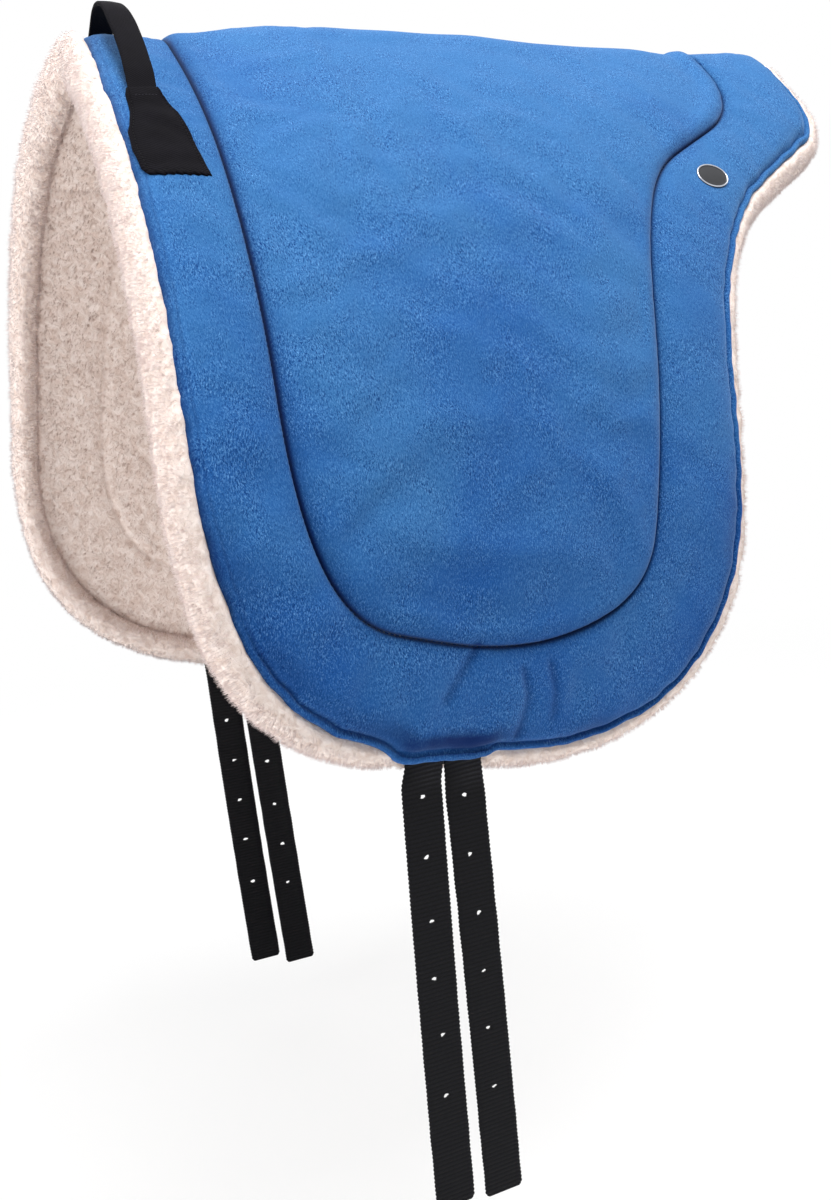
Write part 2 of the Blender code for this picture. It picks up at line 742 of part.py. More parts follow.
def billet_frame(side, place):
    """Return the place of a billet's hinge, with its axes along the edge and down."""
    drop = side * hinge_drop(side, place)
    centre = web_centres(drop)[place]
    height = (WEB_LOW + WEB_HIGH) / 2.0
    pivot = drape(centre, drop, height)
    along = (drape(centre + WEB_WIDTH, drop, height) - drape(centre - WEB_WIDTH, drop, height)).normalized()
    along = Vector((along.x, along.y, 0.0)).normalized()
    down = Vector((0.0, 0.0, -1.0))
    return pivot, along, down


def build_billets():
    """Make the four punched billets, each hung from the end of its girth web."""
    half = WEB_THICKNESS / 2.0
    for side, side_name in ((-1.0, "left"), (1.0, "right")):
        for place in web_centres(0.0):
            pivot, along, down = billet_frame(side, place)
            lean = along * math.tan(BILLET_LEANS[side_name, place])
            frame = Matrix((along, down + lean, along.cross(down))).transposed().to_4x4()
            frame = Matrix.Translation(pivot) @ frame
            name = "billet_" + side_name + "_" + place
            billet = add_billet(name, half)
            billet.data.transform(frame)
            cutters = add_billet_cutter(name + "_holes")
            cutters.data.transform(frame)
            for made in (billet, cutters):
                made.data.transform(Matrix.Translation(-pivot))
                made.location = pivot
            cut(billet, cutters)


def add_billet(name, half):
    """Make one billet flat, its hinge end at the origin, its length along +Y and its face to +Z."""
    body = bmesh.new()
    wide = WEB_WIDTH / 2.0
    corner = BILLET_END_ROUND
    steps = (0.0, 0.3, 0.7, 1.0)
    profile = [(half * math.sin(turn), -half * math.cos(turn))
               for turn in (math.radians(angle) for angle in (-90.0, -45.0, 0.0, 45.0, 90.0))]
    ends = [(wide - corner * (1.0 - math.cos(share * math.pi / 2.0)),
             BILLET_LENGTH - corner * (1.0 - math.sin(share * math.pi / 2.0))) for share in reversed(steps)]
    outline = ends
    low_side = [body.verts.new((wide, y, z)) for z, y in profile]
    far_side = [body.verts.new((-wide, y, z)) for z, y in profile]
    low_end = [body.verts.new((x, y, -half)) for x, y in reversed(outline)]
    high_end = [body.verts.new((x, y, half)) for x, y in reversed(outline)]
    low_far = [body.verts.new((-x, y, -half)) for x, y in reversed(outline)]
    high_far = [body.verts.new((-x, y, half)) for x, y in reversed(outline)]
    for index in range(len(profile) - 1):
        body.faces.new([low_side[index], low_side[index + 1], far_side[index + 1], far_side[index]])
    body.faces.new([low_side[0]] + low_end + list(reversed(low_far)) + [far_side[0]])
    body.faces.new([low_side[-1]] + high_end + list(reversed(high_far)) + [far_side[-1]])
    body.faces.new(low_side + [high_end[0], low_end[0]])
    body.faces.new(far_side + [high_far[0], low_far[0]])
    for low, high in ((low_end, high_end), (low_far, high_far)):
        for index in range(len(low) - 1):
            body.faces.new([low[index], low[index + 1], high[index + 1], high[index]])
    body.faces.new([low_end[-1], high_end[-1], high_far[-1], low_far[-1]])
    return add_object(name, body, WEBBING, smooth=False)


def add_billet_cutter(name):
    """Make the round punches for one billet's row of holes."""
    body = bmesh.new()
    for index in range(BILLET_HOLES):
        place = Matrix.Translation((0.0, BILLET_FIRST_HOLE + index * BILLET_HOLE_PITCH, 0.0))
        bmesh.ops.create_cone(body, cap_ends=True, segments=8, radius1=BILLET_HOLE_RADIUS,
                              radius2=BILLET_HOLE_RADIUS, depth=CUT_OVERRUN * 2.0, matrix=place)
    return add_cutter(name, body)


def handle_height(drop):
    """Return the height of the handle's underside over the lining's face at a distance from the spine."""
    share = min(1.0, abs(drop) / TAB_TOP_DROP)
    return BORDER_TOP + HANDLE_ROOT_CLEARANCE + HANDLE_RISE * (1.0 - share ** HANDLE_BEND_SHARE)


def build_handle():
    """Make the webbing handle that arches over the withers, and the tabs that hold its ends."""
    wide = HANDLE_WIDTH / 2.0
    edge = HANDLE_THICKNESS / 3.0
    ends = TAB_TOP_DROP - HANDLE_CORNER_GAP
    drops = [ends * share for share in HANDLE_STATION_SHARES]
    strap = Sheet()
    rows = []
    for drop in [-drop for drop in reversed(drops)] + drops:
        low = handle_height(drop)
        high = low + HANDLE_THICKNESS
        middle = drop
        if abs(drop) == ends:
            middle = math.copysign(TAB_TOP_DROP - HANDLE_END_GAP, drop)
        centre = HANDLE_S + HANDLE_SWAY * (1.0 - (drop / ends) ** 2.0)
        rows.append([(centre - wide, drop, low + edge, high - edge), (centre - wide + edge, drop, low, high),
                     (centre, middle, low, high),
                     (centre + wide - edge, drop, low, high), (centre + wide, drop, low + edge, high - edge)])
    strap.rows(rows)
    pivot = handle_pivot()
    made = add_object("handle_strap", strap.solid(), WEBBING)
    made.data.transform(Matrix.Translation((-pivot.x, 0.0, -pivot.z)))
    made.location = (pivot.x, 0.0, pivot.z)
    low = BORDER_TOP + LAYER_GAP
    middle_drop = (TAB_TOP_DROP + TAB_SHOULDER_DROP) / 2.0
    middle_width = (TAB_TOP_WIDTH + TAB_WIDTH) / 2.0
    for side, name in ((-1.0, "left"), (1.0, "right")):
        tab = Sheet()
        corners = ((TAB_TOP_DROP, TAB_TOP_WIDTH), (middle_drop, middle_width), (TAB_SHOULDER_DROP, TAB_WIDTH),
                   ((TAB_SHOULDER_DROP + TAB_BOTTOM_DROP) / 2.0, TAB_WIDTH), (TAB_BOTTOM_DROP, TAB_WIDTH))
        tab.rows([[(HANDLE_S - width / 2.0, side * drop, low, low + TAB_THICKNESS),
                   (HANDLE_S + width / 2.0, side * drop, low, low + TAB_THICKNESS)] for drop, width in corners])
        add_object("handle_tab_" + name, tab.solid(), TWILL)


def handle_pivot():
    """Return the place of the line that the handle rocks about, at its right root."""
    drop = TAB_TOP_DROP - HANDLE_CORNER_GAP
    return drape(HANDLE_S, drop, handle_height(drop) + HANDLE_THICKNESS / 2.0)


def build_badge():
    """Make the plain oval badge, with a raised rim round a shallow dish."""
    centre = drape(BADGE_S, -BADGE_DROP, BORDER_TOP + LAYER_GAP / 2.0)
    step = BADGE_HEIGHT / 2.0
    along = (drape(BADGE_S + step, -BADGE_DROP, PAD_THICKNESS) - drape(BADGE_S - step, -BADGE_DROP, PAD_THICKNESS))
    down = (drape(BADGE_S, -BADGE_DROP - step, PAD_THICKNESS) - drape(BADGE_S, -BADGE_DROP + step, PAD_THICKNESS))
    along.normalize()
    out = down.cross(along).normalized()
    if out.y > 0:
        out = -out
    down = out.cross(along).normalized()
    body = bmesh.new()
    profile = ((0.0, 0.0), (0.0, BADGE_THICKNESS), (-BADGE_RIM, BADGE_THICKNESS),
               (-BADGE_RIM * 1.5, BADGE_THICKNESS - BADGE_DISH))
    segments = 24
    rings = []
    for inset, height in profile:
        ring = []
        for index in range(segments):
            angle = 2.0 * math.pi * index / segments
            ring.append(body.verts.new(centre + along * (BADGE_LENGTH / 2.0 + inset) * math.cos(angle)
                                       + down * (BADGE_HEIGHT / 2.0 + inset) * math.sin(angle) + out * height))
        rings.append(ring)
    for first, second in zip(rings, rings[1:]):
        for index in range(segments):
            after = (index + 1) % segments
            body.faces.new([first[index], first[after], second[after], second[index]])
    body.faces.new(rings[0])
    body.faces.new(rings[-1])
    add_object("badge", body, BADGE)


def main():
    """Clear the scene and build every piece."""
    for old in list(bpy.data.objects):
        bpy.data.objects.remove(old, do_unlink=True)
    build_base_foam()
    build_seat()
    build_border()
    build_lining()
    build_edge_roll()
    build_girth_webs()
    build_billets()
    build_handle()
    build_badge()


main()
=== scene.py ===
"""Bareback pad: brushed velour over foam, bound and lined with lambswool fleece.

The pad's pieces are laid out flat on a pattern, (s, t), and draped over one arched section: s runs along
the spine to the tail and t runs out from the spine, to the right where it is positive. Metres throughout.
"""
from __future__ import annotations

import json
import logging
import math
from dataclasses import dataclass, field
from enum import Enum
from functools import partial
from typing import Callable, Sequence

import bmesh
import bpy
import numpy as np
from bpy.types import ID, Material, Mesh, Node, NodeSocket, NodeTree, Object
from mathutils import Matrix, Vector, kdtree, noise

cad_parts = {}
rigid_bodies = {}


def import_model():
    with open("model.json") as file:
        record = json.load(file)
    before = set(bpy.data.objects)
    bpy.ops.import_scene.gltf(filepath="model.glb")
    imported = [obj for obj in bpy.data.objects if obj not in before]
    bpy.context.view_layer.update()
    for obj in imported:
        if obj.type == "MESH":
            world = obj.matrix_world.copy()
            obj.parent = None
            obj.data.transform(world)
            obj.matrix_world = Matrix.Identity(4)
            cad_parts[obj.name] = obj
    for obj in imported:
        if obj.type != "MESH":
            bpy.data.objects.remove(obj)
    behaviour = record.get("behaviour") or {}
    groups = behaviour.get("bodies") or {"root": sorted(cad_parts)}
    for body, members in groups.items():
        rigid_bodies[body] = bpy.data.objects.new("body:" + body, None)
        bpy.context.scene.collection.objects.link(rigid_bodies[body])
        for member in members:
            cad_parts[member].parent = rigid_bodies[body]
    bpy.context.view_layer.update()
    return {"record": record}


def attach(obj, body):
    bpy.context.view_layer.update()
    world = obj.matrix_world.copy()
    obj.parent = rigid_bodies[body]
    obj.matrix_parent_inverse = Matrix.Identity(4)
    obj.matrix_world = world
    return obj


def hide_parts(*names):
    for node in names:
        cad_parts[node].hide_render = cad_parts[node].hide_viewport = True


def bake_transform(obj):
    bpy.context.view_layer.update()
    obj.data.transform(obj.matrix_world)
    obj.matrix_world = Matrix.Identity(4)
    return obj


LOG = logging.getLogger("bareback_pad")
PATTERN = "pattern"
PILE = "pile"
NAP = "nap"
TONE = "tone"
UP = "up"
GROUND = "ground"
# Attribute of how far the velour is darkened: pressed nap over the billets, and painted shade elsewhere
PRESSED_NAP_AND_SHADE = "pressed"

# Where the badge's centre lies on the pattern, and how far the flaps reach down on it
BADGE_S = 0.196
BADGE_DROP = 0.208
FLAP_DROP = 0.667
# How far a girth web is tucked in behind the hinges of its billets
WEB_TUCK = 0.016


def linear(code: str) -> tuple[float, float, float, float]:
    """Turn an sRGB hex colour into linear light.

    Args:
        code: The colour as "#RRGGBB".

    Returns:
        Red, green, blue and an alpha of 1.
    """
    channels = [int(code[place:place + 2], 16) / 255.0 for place in (1, 3, 5)]
    red, green, blue = (c / 12.92 if c <= 0.04045 else ((c + 0.055) / 1.055) ** 2.4 for c in channels)
    return red, green, blue, 1.0


def feed(node: Node, links: dict) -> None:
    """Set a node's inputs.

    Args:
        node: The node.
        links: For each input, by name or number, a value, the output that feeds it or a node, whose first
            output in use then feeds it.
    """
    for key, value in links.items():
        if isinstance(value, Node):
            value = next(socket for socket in value.outputs if socket.enabled)
        if isinstance(value, NodeSocket):
            node.id_data.links.new(value, node.inputs[key])
        else:
            node.inputs[key].default_value = value


def add_node(tree: NodeTree, kind: str, links: dict | None = None, **settings) -> Node:
    """Add a node to a tree, with its own properties as settings and its inputs as feed takes them."""
    made = tree.nodes.new(kind)
    for name, value in settings.items():
        setattr(made, name, value)
    feed(made, links or {})
    return made


def smooth(value: np.ndarray | float) -> np.ndarray | float:
    """Ease a share from 0 to 1, clipped at both ends."""
    share = np.clip(value, 0.0, 1.0)
    return share * share * (3.0 - 2.0 * share)


def quarter(value: np.ndarray | float) -> np.ndarray | float:
    """Rise from 0 to 1 as a quarter circle does, steep at first."""
    share = np.clip(value, 0.0, 1.0)
    return np.sqrt(np.maximum(0.0, 1.0 - (1.0 - share) ** 2))


def ripple(places: np.ndarray, length: float, seed: float) -> np.ndarray:
    """Return soft noise over places.

    Args:
        places: One row per place, two or three numbers each.
        length: The size of one bump, in metres.
        seed: Where in the noise it is read.

    Returns:
        One value for each place, from about -1 to 1.
    """
    rows = np.zeros((len(places), 3))
    rows[:, :places.shape[1]] = places / length
    rows[:, 2] += seed
    return np.array([noise.noise(Vector(row)) for row in rows]) * 1.6


def extended(rows: np.ndarray, value: float | np.ndarray) -> np.ndarray:
    """Return rows with one more column: one value for all, or one for each row."""
    return np.column_stack([rows, np.broadcast_to(value, len(rows))])


def search_tree(places: np.ndarray) -> kdtree.KDTree:
    """Return a tree that finds the nearest of rows of (s, t)."""
    tree = kdtree.KDTree(len(places))
    for index, place in enumerate(places):
        tree.insert((place[0], place[1], 0.0), index)
    tree.balance()
    return tree


def linked(name: str, data: ID | None) -> Object:
    """Return a new object of some data, in the scene."""
    made = bpy.data.objects.new(name, data)
    bpy.context.scene.collection.objects.link(made)
    return made


def set_attribute(mesh: Mesh, name: str, values: np.ndarray) -> None:
    """Give each vertex a number, or a vector where a row holds three."""
    kind, key = ("FLOAT", "value") if values.ndim == 1 else ("FLOAT_VECTOR", "vector")
    mesh.attributes.new(name, kind, "POINT").data.foreach_set(key, values.astype(np.float32).ravel())


@dataclass(frozen=True)
class Arch:
    """The arched section that every layer is draped over."""

    thickness: float = 0.0316
    gullet_radius: float = 0.022
    crest_turn: float = math.radians(40.0)
    barrel_radius: float = 0.587
    barrel_turn: float = math.radians(60.7)
    station: float = 0.083
    flare: float = 0.519
    spine_depth: float = 0.35
    spine_reach: float = 0.055
    dip: float = 0.011
    dip_centre: float = -0.28
    dip_front: float = 0.090
    dip_rear: float = 0.150
    dip_reach: float = 0.2
    lead_drops: tuple = (0.0, 0.06, 0.12, 0.2, 0.28, 0.36, 0.5, 0.62, 0.68)
    leads: tuple = (0.0, 0.010, 0.0145, 0.0135, 0.011, 0.007, 0.006, 0.002, 0.0)

    def lead(self, s: np.ndarray, t: np.ndarray) -> np.ndarray:
        """Return how far the right flap's front edge hangs forward of its pattern."""
        return np.interp(t, self.lead_drops, self.leads) * smooth((-s - 0.24) / 0.09)

    def sag(self, s: np.ndarray, t: np.ndarray) -> np.ndarray:
        """Return how far the pad sags over the withers, where the handle pulls it down."""
        run = np.where(s < self.dip_centre, (self.dip_centre - s) / self.dip_front,
                       (s - self.dip_centre) / self.dip_rear)
        along = np.maximum(0.0, 1.0 - run ** 2) ** 2
        return self.dip * along * np.maximum(0.0, 1.0 - (t / self.dip_reach) ** 2) ** 2

    def section(self, distance: np.ndarray) -> tuple[np.ndarray, np.ndarray, np.ndarray]:
        """Return y, z and the turn of the cover's face at distances out from the spine."""
        radius = self.gullet_radius + self.thickness
        crest_end = radius * self.crest_turn
        crest = np.minimum(distance, crest_end) / radius
        barrel = np.clip(distance - crest_end, 0.0, self.barrel_radius * self.barrel_turn)
        turn = crest + barrel / self.barrel_radius
        y = radius * np.sin(crest) + self.barrel_radius * (np.sin(turn) - np.sin(crest))
        z = radius * (np.cos(crest) - 1.0) + self.barrel_radius * (np.cos(turn) - np.cos(crest))
        rest = np.maximum(distance - crest_end - self.barrel_radius * self.barrel_turn, 0.0)
        return y + rest * np.cos(turn), z - rest * np.sin(turn), turn

    def frame(self, s: np.ndarray, t: np.ndarray) -> tuple[np.ndarray, np.ndarray]:
        """Return the points on the cover's face and the normals there."""
        y, z, turn = self.section(np.abs(t))
        side = np.where(t < 0.0, -1.0, 1.0)
        width = 1.0 + self.flare * (self.station - s)
        face = np.stack([s - self.lead(s, t), side * y * width, z + self.thickness - self.sag(s, t)], axis=1)
        normal = np.stack([y * self.flare * np.sin(turn), side * np.sin(turn), width * np.cos(turn)], axis=1)
        return face, normal / np.linalg.norm(normal, axis=1, keepdims=True)

    def drape(self, places: np.ndarray) -> np.ndarray:
        """Return the points in space of rows of (s, t, height over the lining's face)."""
        s, t, height = places[:, 0], places[:, 1], places[:, 2]
        relief = self.spine_depth + (1.0 - self.spine_depth) * np.minimum(1.0, np.abs(t) / self.spine_reach)
        height = np.where(height < 0.0, height * relief, height)
        face, normal = self.frame(s, t)
        return face + normal * (height - self.thickness)[:, None]

    def point(self, s: float, t: float, height: float) -> Vector:
        """Return one point in space."""
        return Vector(self.drape(np.array([[s, t, height]]))[0])


@dataclass(frozen=True)
class Layers:
    """Heights over the lining's face, at which the layers meet."""

    lining: float = 0.009
    web_low: float = 0.0186
    web_high: float = 0.0204
    foam_low: float = 0.0212
    seam: float = 0.0243
    border: float = 0.0306
    seat: float = 0.0322
    crown: float = 0.0352


class Outline:
    """A closed outline on the pattern, with the same number of places in each of its stretches."""

    FRONT = 180
    BOTTOM = 132
    SIDE = (72, 60, 88, 58, 34)

    def __init__(self, ring: np.ndarray) -> None:
        """Keep the ring and its outward directions."""
        self.ring = ring
        along = np.roll(ring, -1, axis=0) - np.roll(ring, 1, axis=0)
        along /= np.linalg.norm(along, axis=1, keepdims=True)
        self.outward = np.stack([-along[:, 1], along[:, 0]], axis=1)
        self.tree = search_tree(ring)

    @classmethod
    def rounded(cls, corners: Sequence[tuple[float, float]],
                rounds: Sequence[tuple[float, float]]) -> Outline:
        """Make an outline from the corners of its right half.

        Args:
            corners: From the spine's front round the flap to the spine's rear.
            rounds: How far each inner corner is rounded before and after it.

        Returns:
            The closed outline.
        """
        samples = 200
        lengths = np.linalg.norm(np.diff(np.array(corners), axis=0), axis=1)
        asked = np.array([0.0, *(after for _, after in rounds)])
        asked += np.array([*(before for before, _ in rounds), 0.0])
        room = np.minimum(1.0, lengths / asked)
        stretches: list[list[np.ndarray]] = [[np.array(corners[0])]]
        for index in range(1, len(corners) - 1):
            corner = np.array(corners[index])
            back = np.array(corners[index - 1]) - corner
            ahead = np.array(corners[index + 1]) - corner
            start = corner + back / np.linalg.norm(back) * rounds[index - 1][0] * room[index - 1]
            end = corner + ahead / np.linalg.norm(ahead) * rounds[index - 1][1] * room[index]
            for step in range(samples + 1):
                share = step / samples
                low = start + (corner - start) * share
                place = low + (corner + (end - corner) * share - low) * share
                stretches[-1].append(place)
                if step == samples // 2:
                    stretches.append([place])
        stretches[-1].append(np.array(corners[-1]))
        half: list[np.ndarray] = []
        for stretch, count in zip(stretches, (cls.FRONT, *cls.SIDE)):
            run = np.array(stretch)
            steps = np.concatenate([[0.0], np.cumsum(np.linalg.norm(np.diff(run, axis=0), axis=1))])
            goals = np.linspace(0.0, steps[-1], count + 1)[:-1]
            half.append(np.column_stack([np.interp(goals, steps, column) for column in run.T]))
        half.append(np.array([corners[-1]]))
        right = np.concatenate(half)
        left = right[-2:0:-1] * np.array([1.0, -1.0])
        ring = np.concatenate([right, left])
        for _ in range(12):
            ring = (np.roll(ring, 1, axis=0) + 2.0 * ring + np.roll(ring, -1, axis=0)) / 4.0
        return cls(ring)

    def offset(self, distance: float | np.ndarray) -> Outline:
        """Return the outline moved out by a distance."""
        away = np.broadcast_to(np.asarray(distance, dtype=float), (len(self.ring),))
        return Outline(self.ring + self.outward * away[:, None])

    def distance(self, places: np.ndarray) -> np.ndarray:
        """Return how far each place lies from the outline."""
        near = np.array([self.tree.find((place[0], place[1], 0.0))[1] for place in places])
        best = np.full(len(places), np.inf)
        for first, second in ((near - 1, near), (near, (near + 1) % len(self.ring))):
            start, run = self.ring[first], self.ring[second] - self.ring[first]
            share = np.clip(((places - start) * run).sum(1) / np.maximum((run * run).sum(1), 1e-12), 0.0, 1.0)
            best = np.minimum(best, np.linalg.norm(places - start - run * share[:, None], axis=1))
        return best


@dataclass(frozen=True)
class Pattern:
    """The cut of the pad: its edge and its quilted seam."""

    half_length: float = 0.333
    flap_drop: float = FLAP_DROP
    border_width: float = 0.064
    edge_shares: tuple = ((-0.929, 0.0), (-1.02, 0.906), (-0.193, 1.011), (0.365, 0.976),
                          (0.5, 0.406), (1.117, 0.206), (1.092, 0.0))
    edge_round_shares: tuple = ((0.285, 0.214), (0.12, 0.077), (0.204, 0.241), (0.226, 0.168), (0.039, 0.055))
    seam_inset_shares: tuple = ((1.016, 0.0), (1.035, -1.144), (-0.7, -1.414), (-1.446, -1.229),
                                (-0.919, -0.861), (-1.492, -0.293), (-1.442, 0.0))
    seam_round_shares: tuple = ((0.225, 0.115), (0.094, 0.071), (0.136, 0.085), (0.212, 0.108),
                                (0.083, 0.089))

    def edge(self) -> Outline:
        """Return the outline of the cover's edge."""
        corners = [(s * self.half_length, t * self.flap_drop) for s, t in self.edge_shares]
        rounds = [(a * self.flap_drop, b * self.flap_drop) for a, b in self.edge_round_shares]
        return Outline.rounded(corners, rounds)

    def seam(self) -> Outline:
        """Return the outline of the quilted seam."""
        corners = [(s * self.half_length + a * self.border_width, t * self.flap_drop + b * self.border_width)
                   for (s, t), (a, b) in zip(self.edge_shares, self.seam_inset_shares)]
        rounds = [(a * self.flap_drop, b * self.flap_drop) for a, b in self.seam_round_shares]
        return Outline.rounded(corners, rounds)


class Shell:
    """A mesh in the making: rows of places round an outline, and the fills that close them."""

    def __init__(self) -> None:
        """Start an empty shell."""
        self.places: list[np.ndarray] = []
        self.faces: list[tuple[int, ...]] = []
        self.count = 0

    def add(self, places: np.ndarray) -> np.ndarray:
        """Add places, rows of (s, t, height), and return their numbers."""
        numbers = np.arange(self.count, self.count + len(places))
        self.places.append(places)
        self.count += len(places)
        return numbers

    def strip(self, first: np.ndarray, second: np.ndarray) -> None:
        """Join two closed rows of the same length with quads."""
        self.faces += list(zip(first, np.roll(first, -1), np.roll(second, -1), second))

    def loft(self, rows: Sequence[np.ndarray]) -> None:
        """Join rows, each to the next."""
        for first, second in zip(rows, rows[1:]):
            self.strip(first, second)

    def thin_out(self, row: np.ndarray, coarse: np.ndarray, step: int) -> None:
        """Join a row to one with every step-th place."""
        for index in range(len(coarse)):
            fine = [row[(index * step + k) % len(row)] for k in range(step + 1)]
            self.faces.append((*fine, coarse[(index + 1) % len(coarse)], coarse[index]))

    def fill(self, row: np.ndarray, ring: np.ndarray, height: Callable[[np.ndarray], np.ndarray] | float,
             turned: bool = False, step: int = 1) -> None:
        """Fill the inside of an outline with a smooth grid.

        Args:
            row: The numbers of the outline's places.
            ring: The outline's places on the pattern.
            height: The height at rows of (s, t), or one height for all.
            turned: Whether the faces look to the lining's side.
            step: How many of a full outline's places one of this outline's stands for.
        """
        total = len(ring)
        front = Outline.FRONT // step
        low = front + Outline.BOTTOM // step
        ahead = [(total - front + k) % total for k in range(2 * front + 1)]
        behind = [total - low - k for k in range(2 * (total // 2 - low) + 1)]
        left = [total - front - k for k in range(low - front + 1)]
        right = [front + k for k in range(low - front + 1)]
        u = np.linspace(0.0, 1.0, len(ahead))[None, :, None]
        v = np.linspace(0.0, 1.0, len(left))[:, None, None]
        sides = ring[ahead][None], ring[behind][None], ring[left][:, None], ring[right][:, None]
        grid = (1 - v) * sides[0] + v * sides[1] + (1 - u) * sides[2] + u * sides[3]
        grid -= ((1 - u) * (1 - v) * ring[ahead[0]] + u * (1 - v) * ring[ahead[-1]]
                 + (1 - u) * v * ring[behind[0]] + u * v * ring[behind[-1]])
        numbers = np.zeros(grid.shape[:2], dtype=int)
        numbers[0], numbers[-1] = row[ahead], row[behind]
        numbers[:, 0], numbers[:, -1] = row[left], row[right]
        inner = grid[1:-1, 1:-1].reshape(-1, 2)
        heights = height(inner) if callable(height) else height
        numbers[1:-1, 1:-1] = self.add(extended(inner, heights)).reshape(grid.shape[0] - 2, grid.shape[1] - 2)
        a, b, c, d = numbers[:-1, :-1], numbers[:-1, 1:], numbers[1:, 1:], numbers[1:, :-1]
        quads = np.stack([a, d, c, b] if turned else [a, b, c, d], axis=-1).reshape(-1, 4)
        self.faces += [tuple(quad) for quad in quads.tolist()]

    def mesh(self, name: str, arch: Arch) -> Object:
        """Drape the shell and return it as an object with its pattern as a UV map."""
        places = np.concatenate(self.places)
        return mesh_object(name, arch.drape(places), self.faces, places[:, :2])


def mesh_object(name: str, points: np.ndarray, faces: list, flat: np.ndarray | None = None) -> Object:
    """Link a smooth mesh.

    Args:
        name: The piece's name.
        points: The places of its vertices.
        faces: The vertex numbers of each face.
        flat: Where each vertex lies on the pattern, in metres, for the UV map.

    Returns:
        The new object.
    """
    mesh = bpy.data.meshes.new(name)
    mesh.from_pydata(points.tolist(), [], [tuple(int(i) for i in face) for face in faces])
    if flat is not None:
        layer = mesh.uv_layers.new(name=PATTERN)
        corners = np.zeros(len(mesh.loops), dtype=np.int32)
        mesh.loops.foreach_get("vertex_index", corners)
        layer.data.foreach_set("uv", flat[corners].astype(np.float32).ravel())
    mesh.shade_smooth()
    mesh.update()
    return linked(name, mesh)


def sleeve(name: str, rings: np.ndarray, flat: np.ndarray) -> Object:
    """Link a closed body that runs through rings of the same count.

    Args:
        name: The piece's name.
        rings: Its points, as rows of rings.
        flat: Where each point lies on the webbing laid flat.

    Returns:
        The new object.
    """
    rows, count = rings.shape[:2]
    first = np.arange(count)
    faces: list = []
    for row in range(rows - 1):
        here = first + row * count
        faces += list(zip(here, np.roll(here, -1), np.roll(here, -1) + count, here + count))
    faces += [tuple(first[::-1]), tuple(first + (rows - 1) * count)]
    made = mesh_object(name, rings.reshape(-1, 3), faces, flat.reshape(-1, 2))
    face_outwards(made)
    return made


def flat_contour(width: float, thickness: float, columns: int, groove: float = 0.0) -> np.ndarray:
    """Return the outline of a flat strap's section, with soft edges.

    Args:
        width: Across the strap.
        thickness: Through it.
        columns: How many points lie across each face.
        groove: How deep the line is where two layers meet at the edge.

    Returns:
        Rows of (across, out).
    """
    half = thickness / 2.0
    wide = width / 2.0 - half * 0.8
    across = np.linspace(-wide, wide, columns)
    rim = wide + half * 0.8
    edge = [(wide + half * 0.55, half * 0.72), (rim, half * 0.3), (rim - groove, 0.0), (rim, -half * 0.3),
            (wide + half * 0.55, -half * 0.72)]
    top = [(x, half) for x in across]
    return np.array(top + edge + [(-x, -half) for x in across] + [(-x, -z) for x, z in edge])


def face_outwards(piece: Object) -> None:
    """Turn a closed piece's faces outwards."""
    body = bmesh.new()
    body.from_mesh(piece.data)
    bmesh.ops.recalc_face_normals(body, faces=body.faces)
    body.to_mesh(piece.data)
    body.free()


def plain_mesh(piece: Object) -> Object:
    """Turn a piece and its modifiers into a plain mesh."""
    graph = bpy.context.evaluated_depsgraph_get()
    mesh = bpy.data.meshes.new_from_object(piece.evaluated_get(graph), depsgraph=graph)
    piece.modifiers.clear()
    piece.data = mesh
    mesh.name = piece.name
    return piece


class Side(Enum):
    """A side of the horse, with its sign along Y."""

    LEFT = -1.0
    RIGHT = 1.0


